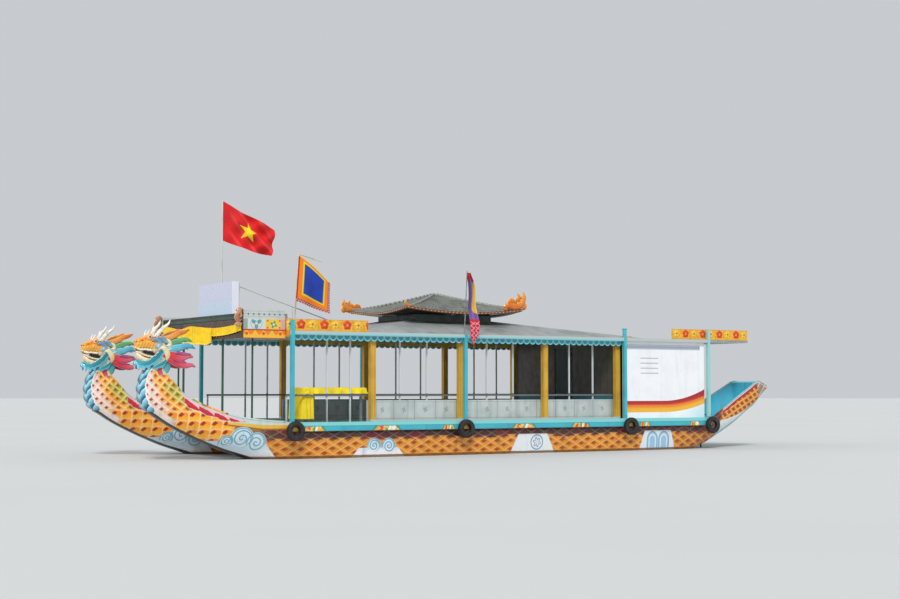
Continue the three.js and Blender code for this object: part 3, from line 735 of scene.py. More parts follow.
    # Clouds, a seal and two arches above the waterline
    for curls, front, back, crest in (
        (((6.95, 0.80, 0.12, 1), (6.65, 0.86, 0.215, 1), (6.33, 0.77, 0.19, -1)), 7.76, 5.80, 0.82),
        (((3.48, 0.66, 0.15, 1), (3.10, 0.65, 0.15, -1)), 4.06, 2.66, 0.62),
    ):
        mask, ink = cloud(x, z, curls, front, back, crest)
        paint.lay(mask, paint.mix((z + (x * 9.0).sine() * 0.02).rise(0.50, 0.66), "#eeeef2", "#cde2ec"))
        paint.lay(mask * ink * 0.9, "#5f9cb4")
    away, angle = circle(x, z, (-0.98, 0.66), 0.17)
    board = (abs(x + 0.86) - (0.9 - z) * 0.5).rise(0.42, 0.38) * z.rise(0.87, 0.85)
    paint.lay(board, "#e4eaec")
    petals = (angle * 6.0).sine() * 0.14
    paint.lay(abs(away - 1.0).rise(0.12, 0.05) * board, "#6a9fb8")
    paint.lay(abs(away - 0.5 - petals).rise(0.10, 0.04) * away.rise(1.0, 0.95) * board, "#5d86ab")
    plinth = (abs(x + 4.70) - (0.95 - z) * 0.35).rise(0.42, 0.38) * z.rise(0.90, 0.88)
    paint.lay(plinth, "#dfe9ee")
    for centre in (-4.53, -4.90):
        arch = ((x - centre) / 0.165).reach((z - 0.66).most(0.0) / 0.2)
        paint.lay(plinth * arch.rise(1.04, 0.98), "#9cc3dc")
        paint.lay(plinth * abs(arch - 0.62).rise(0.14, 0.08), "#d9e9f2")
        paint.lay(plinth * abs(arch - 1.0).rise(0.10, 0.04), "#6fa3c0")

    # The neck's belly plates with painted shade and highlight, the pale line beside them, the dark stem and
    # the waterline
    throat = run.rise(7.9, 8.0)
    face = (z.rise(1.38, 1.50) * 0.085 + 0.002 - lift).rise(-0.01, 0.0) * z.rise(1.38, 1.44) * throat
    plate = ((run - out * 0.5 - NECK_START) / PLATE).part()
    paint.lay(neck * throat * lift.rise(0.135, 0.115), "#f8ebe8")
    paint.lay(x.band(8.02, 8.60, 0.05) * z.rise(1.47, 1.45) * lift.rise(0.16, 0.11), "#f3e2da")
    # Each blue plate runs from dark at its foot to pale at its top, with a light top edge: painted shade and
    # highlight of light from above on the overlapping plates
    paint.lay(face, paint.mix(plate.rise(0.10, 0.90), "#1b5f86", "#90d8e6"))
    paint.lay(face * plate.rise(0.86, 0.93), "#c9eff4")
    paint.lay(face * plate.rise(0.10, 0.03), "#123c58")
    stem = run.rise(6.0, 6.4) * z.rise(1.47, 1.42)
    paint.lay(stem * lift.rise(0.035, 0.022), "#1f262b")
    # A dark ochre-brown strip just above the waterline: partly a real ochre-brown strip, partly painted shade
    # and reflection from the water
    waterline_strip_and_shade = (z + paint.noise(6.0, 2.0) * 0.02).rise(0.478, 0.462)
    paint.lay(waterline_strip_and_shade * x.band(-6.7, 6.4, 0.3) * 0.9, "#70480f")
    paint.lay(z.rise(0.405, 0.39), "#4b4638")

    # The deck at the bow and the well in the stern
    inside = down.rise(-0.02, -0.06)
    paint.lay(inside, "#3fb4cf")
    paint.lay(inside * x.band(-7.50, -7.32, 0.01) * z.band(1.72, 1.90, 0.01), "#1d5f88")
    paint.lay(inside * x.band(-6.86, -6.76, 0.01) * z.band(1.38, 1.50, 0.01), "#175066")
    paint.lay(inside * x.rise(5.5, 5.6), "#7ea6a4")
    paint.grime(0.3, "#5a4426")
    outer = down.rise(-0.02, 0.0)
    paint.relief((1.0 - relief) * outer * 0.6 + paint.noise(30.0, 3.0, (0.2, 0.2, 1)) * 0.25, 0.006, 0.6)
    paint.worn(0.3, 0.55)
    return paint


def sheer_beads(paint):
    """The round moulding along the edge of each hull at the bow and the stern."""
    for name, low, high in (
        ("bow_bead", DECK_FORE + 0.05, NECK_START + 0.35),
        ("stern_bead", -8.8, DECK_AFT),
    ):
        bm = bmesh.new()
        sections = [s for s in hull_sections() if low <= s[0] <= high and not s[5]]
        for side in (1, -1):
            points = [(s[2][0], HULL_Y + side * (s[4] - 0.012), s[2][1] + 0.004) for s in sections[::2]]
            pipe(bm, points, 0.02, 8, steps=2 * len(points), side=(0, 0, 1))
        made(bm, name, paint, "hull_paint", pair=True)


# Decks, frames and walls

VALANCE_PITCH = 9.04 / 52
LOW_PANEL = 0.57
BLOSSOM_PITCH = 0.286
DOT_PITCH = 0.125
FLOWER_PITCH = 0.40
BLADE_TOP = 0.385
# Columns: fore end, aft end, colour
RAIL_MOTIFS = [
    (5.33, 4.80, "#e8b62c"),
    (3.57, 2.89, "#e9ecec"),
    (1.75, 1.43, "#8c9a35"),
    (-0.19, -0.83, "#e8862a"),
    (-1.92, -2.46, "#c73a2c"),
    (-4.02, -4.34, "#e8b62c"),
    (-5.65, -5.98, "#e9ecec"),
]


def turquoise_frame():
    paint = film("turquoise_frame", "#3fb2c2", "#2b93a6", 0.38, 0.35, 0.25)
    x, y, z = paint.place()
    rail = abs(y).rise(2.40, 2.401) * z.rise(1.21, 1.205)
    paint.lay(rail * z.rise(1.118, 1.124), "#7fd0cf")
    for fore, aft, accent in RAIL_MOTIFS:
        share = (x - aft) / (fore - aft)
        ends = abs(share - 0.5)
        low = z - 1.0
        wing = (0.50 - low * 1.6 - ends).rise(-0.01, 0.02) * z.rise(1.106, 1.098)
        slanted = share + low * 0.5
        paint.lay(rail * (0.58 - low * 1.2 - ends).rise(-0.01, 0.02) * z.rise(1.112, 1.104), "#3f8f90")
        paint.lay(rail * wing, "#e2aa2a")
        for start, end, colour in (
            (0.20, 0.34, accent),
            (0.36, 0.47, "#e8eee6"),
            (0.47, 0.56, "#4f9446"),
            (0.68, 0.82, "#d24a26"),
        ):
            paint.lay(rail * wing * slanted.band(start, end, 0.015), colour)
        paint.lay(rail * wing * paint.noise(24.0, 1.0).rise(0.56, 0.62) * 0.6, "#f6e2a0")
    for spot in (5.54, 1.15, -3.70, -6.36):
        away, _ = circle(x, z, (spot, 1.01), 0.12)
        paint.lay(rail * away.rise(1.0, 0.9), "#e8bb4c")
    paint.lay(rail * z.band(1.112, 1.119, 0.003), "#2f8694")
    paint.lay(z.rise(1.022, 1.004) * rail * 0.6, "#3a5552")
    paint.lay(x.rise(-6.2, -6.25) * z.rise(1.22, 1.23), "#97cdc9")
    beam = abs(y).rise(2.4965, 2.4945) * z.band(3.095, 3.20, 0.005)
    paint.lay(beam, "#86cdd2")
    paint.lay(beam * z.rise(3.146, 3.152).most(x.rise(-3.63, -3.65)), "#b7c0be")
    return paint


def deck_boards():
    paint = film("deck_boards", "#5f9a98", "#7d7a66", 0.6, 0.8, 0.0, 0.0)
    x, y, z = paint.place()
    joints = y.line(0.12, 0.006)
    ends = (x + (y / 0.12).whole() * 0.73).line(2.4, 0.008)
    seams = joints.most(ends)
    paint.lay(paint.noise(3.0, 5.0, (0.2, 2.0, 1)).rise(0.45, 0.62) * 0.5, "#8a7c63")
    paint.lay(seams * z.rise(1.17, 1.178), "#2b3a39")
    paint.lay(z.rise(1.175, 1.165), "#3a6f76")
    paint.relief(1.0 - seams, 0.003, 0.6)
    return paint


def pillar_paint():
    paint = film("pillar_paint", "#d9a82c", "#b8851d", 0.45, 0.5, 0.15, 0.35)
    x, _, z = paint.place()
    for middle in (3.47, 1.115, -1.295, -3.50):
        inside = abs(x - middle)
        paint.lay(inside.band(0.032, 0.040, 0.002) * z.band(1.30, 2.98), "#9c6c17")
    paint.lay(z.rise(1.246, 1.238), "#c2cac8")
    return paint


def low_wall_paint():
    paint = film("low_wall_paint", "#c3cac8", "#a9b2b1", 0.5, 0.6, 0.1, 0.3)
    x, _, z = paint.place()
    panel = z.rise(1.675, 1.668)
    share = (x / LOW_PANEL).part()
    middle = abs(share - 0.5)
    joint = middle.rise(0.480, 0.490)
    flutes = x.line(0.038, 0.010) * middle.rise(0.36, 0.37) * z.band(1.25, 1.64)
    rails = z.band(1.250, 1.262).most(z.band(1.625, 1.637)) * 0.7
    paint.lay(panel * joint * 0.85, "#6f787a")
    paint.lay(panel * flutes * 0.6, "#929b9b")
    paint.lay(panel * rails, "#8d9596")
    across, up = (share - 0.5) * LOW_PANEL / 0.065, (z - 1.45) / 0.085
    away, angle = across.reach(up), up.math("ARCTAN2", across)
    petals = away - 0.62 - (angle * 4.0).sine() * 0.22
    paint.lay(panel * petals.rise(0.14, -0.08) * away.rise(0.18, 0.26) * 0.55, "#6f7a79")
    paint.lay(panel * away.rise(0.16, 0.10) * 0.5, "#5b6566")
    paint.lay(z.rise(1.74, 1.77) * z.rise(1.825, 1.815), "#5d6467")
    paint.lay(z.rise(1.83, 1.835), "#c9cfce")
    paint.relief((1.0 - joint) * 0.7 - flutes * 0.5 + rails * 0.4, 0.004)
    return paint


def stripe_edge(x, level, high):
    """The height of a stripe's edge, level forward and sweeping up to the stern."""
    sweep = (0.0 - x - 4.9).most(0.0) / 1.33
    return level + sweep * sweep * (high - level)


def aft_panel_paint():
    paint = film("aft_panel_paint", "#f3f4f6", "#dde2e6", 0.35, 0.3, 0.25, 0.10)
    x, y, z = paint.place()
    outer = abs(y).rise(2.38, 2.39)
    paint.lay(outer * (z - 1.75).rise(0.0, -0.5) * x.rise(-5.4, -6.2) * 0.6, "#b5dde4")
    low = z - stripe_edge(x, 1.345, 1.555)
    shade = ((z - stripe_edge(x, 1.40, 1.62)) / 0.2).least(1.0).most(0.0)
    stripe = outer * (z - stripe_edge(x, 1.627, 1.915)).rise(0.004, -0.004) * low.rise(-0.004, 0.004)
    blend = paint.mix(shade.rise(0.10, 0.45), "#f2b42c", "#ee8420")
    paint.lay(stripe, paint.mix(shade.rise(0.50, 0.78), blend, "#c02324"))
    paint.lay(stripe * shade.rise(0.86, 1.0) * 0.6, "#8e1a22")
    # Four grey lines stand for the vent louvres: painted shadows of slats that are not modelled, with a
    # slight bump
    louvre_shadow_lines = x.band(-4.72, -4.15) * z.band(2.30, 2.72) * (z - 2.32).line(0.125, 0.022)
    paint.lay(outer * louvre_shadow_lines, "#a6b0b6")
    dashes = (x + z * 0.6).line(0.075, 0.045) * z.band(2.945, 3.00, 0.004)
    strip = outer * z.band(2.915, 3.035) * x.band(-6.10, -3.72, 0.01)
    paint.lay(strip, "#b3bcc8")
    paint.lay(strip * dashes * 0.7, "#65717f")
    sheets = (x + 3.6).line(1.22, 0.006)
    paint.lay(outer * sheets * 0.35, "#9aa4aa")
    paint.relief(1.0 - sheets - louvre_shadow_lines, 0.003)
    return paint


def bulkhead_painted_shade():
    # Above the turquoise foot the wall is a dark brown-grey: painted shade for the cabin's dim inside
    paint = film("bulkhead_painted_shade", "#4f4b40", "#37342c", 0.5, 0.5, 0.1, 0.3)
    _, y, z = paint.place()
    joint = y.line(0.31, 0.01)
    paint.lay(joint, "#2a2820")
    paint.lay(z.rise(1.75, 1.74), "#2f7f8b")
    paint.lay(z.band(1.735, 1.765, 0.003), "#2c6d77")
    paint.relief(1.0 - joint, 0.003)
    return paint


def valance_paint():
    paint = film("valance_paint", "#52b4c1", "#3b9db0", 0.4, 0.3, 0.2, 0.2)
    x, _, z = paint.place()
    share = ((x + 3.54) / VALANCE_PITCH).part() - 0.5
    lobe = (abs(share) / 0.40).reach((3.105 - z) / 0.105)
    paint.lay(lobe.rise(0.98, 0.88), "#2b8c9c")
    paint.lay(lobe.rise(0.62, 0.40) * 0.5, "#3aa3b1")
    paint.lay(lobe.band(0.90, 1.10, 0.05) * 0.8, "#8ed2da")
    paint.lay(abs(share).rise(0.44, 0.47) * 0.6, "#a9dde2")
    paint.lay(z.rise(3.098, 3.104), "#c5e3e3")
    paint.relief(lobe.rise(0.95, 0.85), 0.004)
    return paint


def blossom_board():
    paint = film("blossom_board", "#f0ae22", "#e08d1c", 0.42, 0.6, 0.2, 0.2)
    x, _, z = paint.place()
    aft = x.rise(0.1, -0.1)
    count = (x - 5.335 + aft * 10.955) / BLOSSOM_PITCH + 0.5
    share = (count.part() - 0.5) * BLOSSOM_PITCH
    red = abs((count.whole() / 2.0).part()).rise(0.25, 0.20)
    away, angle = circle(share, z, (0.0, 3.335), 0.10)
    bloom = away - 0.98 - (angle * 5.0).sine() * 0.10 - (paint.noise(30.0, 2.0) - 0.5) * 0.25
    paint.lay(paint.noise(9.0, 3.0).rise(0.45, 0.62) * 0.5, "#f7c63c")
    paint.lay(abs(share).rise(0.10, 0.135) * paint.noise(14.0, 2.0).rise(0.5, 0.56) * 0.6, "#a8951f")
    paint.lay(bloom.rise(0.16, -0.12) * (0.6 + red * 0.4), paint.mix(red, "#fbdc4c", "#e0441a"))
    paint.lay(bloom.band(-0.10, 0.06, 0.07) * 0.35, paint.mix(red, "#e09a1c", "#b8321a"))
    spokes = (angle * 5.0 + 1.57).sine().rise(0.6, 0.95) * bloom.rise(-0.05, -0.1) * away.rise(0.3, 0.4)
    paint.lay(spokes * 0.4, "#a5301a")
    paint.lay(away.rise(0.34, 0.20) * 0.9, paint.mix(red, "#b8541c", "#f2a33a"))
    paint.lay(z.rise(3.436, 3.44).most(z.rise(3.205, 3.199)) * 0.7, "#d8811e")
    paint.relief(bloom.rise(0.1, -0.5) - away.rise(0.3, 0.2) * 0.3, 0.02, 0.9)
    return paint


def roof_sheet():
    paint = Paint("roof_sheet", "#989d9b", 0.55, metallic=0.1)
    x, _, z = paint.place()
    paint.uneven("#7b807e", 0.7, 0.9)
    paint.uneven("#adb1ae", 0.5, 2.2)
    rust = paint.noise(1.6, 6.0).rise(0.60, 0.74)
    paint.lay(rust * 0.35, "#86735c")
    seams = x.line(0.61, 0.02)
    paint.lay(seams * 0.8, "#7f8482")
    ribs = (x * (TURN / 0.1525)).sine()
    paint.lay(z.rise(3.14, 3.125), "#b9c9c7")
    paint.lay(x.rise(6.60, 6.62), "#3a3f38")
    paint.relief(ribs * 0.5 + seams, 0.006, 0.5)
    paint.worn(0.4, 0.7)
    return paint


def fascia_paint():
    paint = film("fascia_paint", "#c6cac7", "#aab0ad", 0.42, 0.4, 0.2, 0.2)
    x, y, z = paint.place()
    # The striped strip on top, with its dots
    paint.lay(z.line(0.058, 0.014) * z.rise(3.44, 3.45) * 0.6, "#98a09e")
    dot = (((x / DOT_PITCH).part() - 0.5) * DOT_PITCH).reach(z - 3.532)
    paint.lay(dot.rise(0.026, 0.018), "#5f7472")
    # Three panels below it, each with its motif
    panel = z.band(3.212, 3.43, 0.003)
    paint.lay(panel, "#cdd3cc")
    away, angle = circle(x, z, (6.37, 3.335), 0.13)
    motif = away - 0.62 - (angle * 3.0).sine() * 0.34
    paint.lay(panel * motif.rise(0.06, -0.02) * away.rise(0.2, 0.3), "#5b999f")
    paint.lay(panel * abs(away - 1.02).rise(0.09, 0.04) * 0.8, "#8fb2b0")
    yellow = panel * x.band(5.785, 6.156, 0.003)
    paint.lay(yellow, "#ecbf3e")
    away, angle = circle(x, z, (5.96, 3.315), 0.08)
    flower = away - 0.75 - (angle * 4.0).sine() * 0.28
    paint.lay(yellow * flower.rise(0.08, -0.02), "#4a9270")
    paint.lay(yellow * away.rise(0.36, 0.26), "#efe6bf")
    corner = abs(abs(x - 5.96) - 0.145).most(abs(abs(z - 3.32) - 0.075)).rise(0.026, 0.018)
    paint.lay(yellow * corner, "#d9662c")
    paint.lay(panel * x.rise(5.785, 5.782), "#cba3ad")
    paint.lay(panel * x.rise(6.575, 6.578), "#8fa39f")
    # The red line, and the orange board with its yellow scallops
    paint.lay(z.rise(3.212, 3.208), "#a8352a")
    paint.lay(z.rise(3.186, 3.182), "#e8801e")
    scallop = (x / 0.20).part() - 0.5
    drop = scallop * scallop * 0.55 + 3.05
    paint.lay((z - drop).rise(0.045, 0.035) * z.rise(3.182, 3.178) * 0.9, "#f2bc34")
    flower, _ = circle((x / FLOWER_PITCH).part() * FLOWER_PITCH, z, (FLOWER_PITCH / 2, 3.115), 0.035)
    paint.lay(flower.rise(1.1, 0.9) * z.rise(3.182, 3.178), "#d8481c")
    paint.lay(z.rise(3.03, 3.018), "#9a4a18")
    # The dark carved board in front
    front = x.rise(6.66, 6.695)
    paint.lay(front, "#3b2c22")
    curls = abs((y / 0.16).part() - 0.5) + abs((z / 0.12).part() - 0.5)
    paint.lay(front * y.band(-0.9, 2.2, 0.2) * abs(curls - 0.5).rise(0.10, 0.05) * 0.5, "#8a5a34")
    return paint


def metal(name, base, roughness, metallic, patches, brush, worn):
    """Bare metal with patches of two other tones. Each patch is a colour, an amount and a scale."""
    paint = Paint(name, base, roughness, metallic)
    for patch in patches:
        paint.uneven(*patch)
    paint.brushed(*brush)
    paint.worn(*worn)
    return paint


def plain_parts(frames, boards):
    """The finishes of the pieces whose shape is already the right one."""
    dress(frames, *pair_of("side_frame"))
    dress(deck_boards(), "main_deck", "fore_deck")
    dress(pillar_paint(), *pair_of("pillar_frame"))
    dress(low_wall_paint(), *pair_of("low_wall"))
    dress(aft_panel_paint(), *pair_of("aft_panel"))
    dress(bulkhead_painted_shade(), "cabin_bulkhead", "aft_bulkhead")
    dress(boards, *pair_of("flower_board_fore", "flower_board_aft"))
    dress(roof_sheet(), "main_roof", "aft_roof", "fore_roof", "canopy_roof")
    dress(fascia_paint(), "canopy_fascia")
    sign = film("sign_paint", "#e6e8f2", "#d3d6e6", 0.3, 0.25, 0.3, 0.12)
    x, _, z = sign.place()
    sign.lay(x.rise(6.275, 6.279), sign.mix(z.rise(3.70, 4.05), "#c4d8ea", "#cdd0e4"))
    dress(sign, "sign_box")
    for node, *look in (
        ("pavilion_riser", "riser_paint", "#2d4a3c", "#1c2a23", 0.45, 0.6),
        ("sign_frame", "sign_frame_paint", "#cfd0cb", "#8f9089", 0.4, 0.4, 0.0, 0.3),
        ("festival_pole", "bamboo_pole", "#d6cdb6", "#a3947a", 0.55, 0.7, 0.0, 0.2),
        ("canopy_frame", "canopy_frame_paint", "#27483a", "#3f6350", 0.45, 0.4),
        ("table", "table_frame", "#868e90", "#666e70", 0.5, 0.8, 0.1, 0.2),
    ):
        dress(film(*look), node)
    patches = ("#7f8385", 0.7, 9.0), ("#7a5a40", 0.4, 5.0)
    steel = metal("galvanised_steel", "#a7abad", 0.4, 0.85, patches, (0.0008, 120.0), (0.28, 0.55))
    dress(steel, "pennant_pole", *pair_of("shaft"))
    patches = ("#6f7f5c", 0.6, 14.0), ("#5b3d1c", 0.5, 6.0)
    bronze = metal("cast_bronze", "#a8793a", 0.35, 0.9, patches, (0.001, 60.0), (0.25, 0.5))
    dress(bronze, *pair_of("propeller"))


def canopy_trim(paint):
    """The curled ornament on each fore corner of the canopy, and the end blocks of the blossom boards."""
    carved = leaf_paint("corner_curl", "#b0714e", "#d9a47e", "#ecc6a4", 0.3)
    widths = [0.04, 0.055, 0.055, 0.045, 0.04, 0.035, 0.028, 0.012]
    bm = bmesh.new()
    # Columns: x, z
    for curl in (
        [(6.67, 3.37), (6.76, 3.38), (6.81, 3.45), (6.80, 3.53), (6.74, 3.57), (6.69, 3.53), (6.71, 3.48),
         (6.75, 3.48)],
        [(6.69, 3.40), (6.74, 3.33), (6.80, 3.31), (6.83, 3.35)],
        [(6.69, 3.54), (6.71, 3.60), (6.77, 3.62), (6.81, 3.59)],
    ):
        rows = [(x, 2.29, z, width) for (x, z), width in zip(curl, widths)]
        ribbon(bm, rows, 0.03, 10, 8 * len(curl), (4, 0.10))
    made(bm, "canopy_corner_curl", carved, "blossom_board", pair=True)
    bm = bmesh.new()
    block(bm, (5.606, 2.334, 3.05), (5.674, 2.425, 3.46), 0.008)
    made(bm, "blossom_end_block", paint, "blossom_board", pair=True)


def post_tops(paint):
    """The top of the aft post, which stands above the eaves."""
    bm = bmesh.new()
    block(bm, (-3.64, 2.422, 3.12), (-3.56, 2.498, 3.40), 0.006)
    block(bm, (-3.65, 2.414, 3.40), (-3.55, 2.506, 3.425), 0.008)
    made(bm, "post_top", paint, "turquoise_paint", pair=True)


def valances(paint):
    """The scalloped board under each side's eaves."""
    low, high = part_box("valance_port")
    length = high.x - low.x
    count = round(length / VALANCE_PITCH)

    def place(along, across):
        corner = round(across * 4) % 4
        foot = low.z + 0.05 * (1 - abs(math.sin(math.pi * count * along)) ** 0.6)
        y = low.y if corner in (0, 3) else high.y
        return low.x + length * along, y, foot if corner in (0, 1) else high.z

    bm = bmesh.new()
    surface(bm, count * 10, 4, place, closed=True)
    made(bm, "valance_board", paint, "turquoise_paint", pair=True, stands_for=("valance",), smooth=False)


def rudders():
    """Flat blades on round stocks, wholly below the waterline, with their tillers in the wells."""
    paint = film("rudder_paint", "#4a3a30", "#2f2520", 0.6, 0.8, 0.0, 0.4)
    low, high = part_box("rudder_port")
    stock_x = -6.76
    y = HULL_Y
    tiller_z = high.z - 0.02
    bm = bmesh.new()
    block(bm, (low.x + 0.05, y - 0.014, low.z), (high.x, y + 0.014, BLADE_TOP), 0.010)
    rod(bm, (stock_x, y, low.z + 0.02), (stock_x, y, high.z - 0.004), 0.0215, sides=24)
    rod(bm, (stock_x, y, 1.1003), (stock_x, y, 1.13), 0.043, sides=24)
    rod(bm, (stock_x, y, high.z - 0.035), (low.x + 0.012, y, tiller_z), 0.016, 0.012)
    ball(bm, (low.x + 0.025, y, tiller_z), 0.022)
    for z in (0.12, 0.30):
        block(bm, (stock_x - 0.10, y - 0.024, z - 0.02), (stock_x + 0.04, y + 0.024, z + 0.02), 0.006)
    bmesh.ops.recalc_face_normals(bm, faces=bm.faces)
    for side, flip in SIDES:
        node = "rudder" + side
        linked(bm, "rudder_blade" + side, paint, "shaft_steel", smooth=False, body=node, stands_for=(node,),
               flip=flip)
    bm.free()


# Heads and manes

def leaf_paint(name, base, tip, edge, lines=0.35):
    """A carved leaf or wave: its colour changes to the tip, with a pale rounded edge and fine grooves."""
    paint = Paint(name, base, 0.4, coat=0.25)
    along, across = paint.chart("skin")
    paint.lay(along.rise(0.15, 0.85), tip)
    rim = abs((across * TURN).cosine())
    groove = abs(((across * 2.0).part() - 0.5) * 7.0 + along * 1.5).part()
    groove = abs(groove - 0.5).rise(0.12, 0.03) * rim.rise(0.9, 0.8)
    paint.lay(groove * lines, "#23424a")
    paint.lay(rim.rise(0.86, 0.93), edge)
    paint.uneven("#5a4a3a", 0.18, 9.0)
    paint.relief(rim.rise(0.8, 0.95) - groove, 0.006, 0.8)
    return paint


def glaze(name, base, darker, roughness=0.35, scale=9.0):
    """Thick glossy paint on a carved form."""
    paint = Paint(name, base, roughness, coat=0.35)
    paint.uneven(darker, scale=scale)
    paint.uneven("#4f4230", 0.15, 22.0)
    paint.brushed(0.0015, 30.0)
    paint.worn(roughness - 0.07, roughness + 0.15)
    return paint


def snout_paint():
    paint = glaze("snout_paint", "#f2ae36", "#df8a26")
    x, _, z = paint.place()
    paint.lay(z.rise(2.96, 3.02), "#f4ac6c")
    paint.lay(z.rise(2.83, 2.79) * x.rise(8.5, 8.6) * 0.8, "#f3d78a")
    paint.lay(x.rise(8.50, 8.38), "#8fb4c8")
    paint.lay(x.rise(8.36, 8.26), "#efe4c0")
    grooves = (x * 0.9 + z * 0.4).line(0.055, 0.010)
    paint.lay(grooves * x.rise(8.44, 8.5) * z.rise(2.95, 2.90) * 0.7, "#9a5a1c")
    paint.lay(z.rise(2.775, 2.755) * x.rise(8.45, 8.5), "#f6ead2")
    paint.relief(1.0 - grooves, 0.003)
    return paint


def jaw_paint():
    paint = glaze("jaw_paint", "#efe3bd", "#dcb98a")
    _, _, z = paint.place()
    paint.lay(z.rise(2.50, 2.44) * 0.8, "#9fc7a8")
    spots = paint.noise(26.0, 1.0).rise(0.62, 0.68)
    paint.lay(spots * 0.7, "#d8893f")
    return paint


# Columns: x, top, bottom, half width
SKULL = [
    (8.00, 2.88, 2.42, 0.10),
    (8.08, 2.97, 2.40, 0.17),
    (8.20, 3.02, 2.42, 0.215),
    (8.32, 3.03, 2.55, 0.225),
    (8.42, 3.01, 2.68, 0.205),
    (8.52, 3.00, 2.73, 0.185),
    (8.62, 2.95, 2.745, 0.175),
    (8.74, 2.945, 2.75, 0.16),
    (8.82, 2.935, 2.76, 0.13),
    (8.85, 2.87, 2.80, 0.06),
]
JAW = [
    (8.04, 2.62, 2.38, 0.11),
    (8.14, 2.66, 2.37, 0.17),
    (8.28, 2.64, 2.385, 0.185),
    (8.42, 2.59, 2.41, 0.18),
    (8.56, 2.60, 2.455, 0.165),
    (8.68, 2.63, 2.49, 0.14),
    (8.77, 2.68, 2.53, 0.11),
    (8.82, 2.70, 2.60, 0.06),
]
MOUTH = [
    (8.10, 2.80, 2.50, 0.12),
    (8.30, 2.80, 2.52, 0.15),
    (8.50, 2.79, 2.56, 0.13),
    (8.60, 2.77, 2.60, 0.08),
]
# Columns: x, out, z, and the tongue's half width
UPPER_LIP = [
    (8.46, 0.20, 2.735), (8.62, 0.175, 2.755), (8.78, 0.14, 2.755), (8.842, 0.05, 2.79), (8.845, 0, 2.80),
]
LOWER_LIP = [
    (8.40, 0.17, 2.60), (8.56, 0.16, 2.615), (8.70, 0.13, 2.65), (8.79, 0.08, 2.695), (8.815, 0, 2.70),
]
SNOUT_SIDE = [(8.60, 0.06, 2.95), (8.70, 0.07, 2.975), (8.79, 0.085, 2.95)]
NOSE = [(8.40, 0, 3.02), (8.55, 0, 3.01), (8.68, 0, 2.97), (8.80, 0, 2.95)]
HORN = [(8.34, 0.10, 2.99), (8.31, 0.165, 3.09), (8.23, 0.22, 3.20), (8.13, 0.26, 3.29), (8.085, 0.27, 3.39)]
PRONG = [(8.27, 0.19, 3.13), (8.27, 0.24, 3.20), (8.24, 0.26, 3.27)]
TONGUE = [
    (8.34, 0, 2.64, 0.02), (8.50, 0, 2.66, 0.02), (8.64, 0, 2.66, 0.02), (8.74, 0, 2.70, 0.016),
    (8.79, 0, 2.76, 0.006),
]
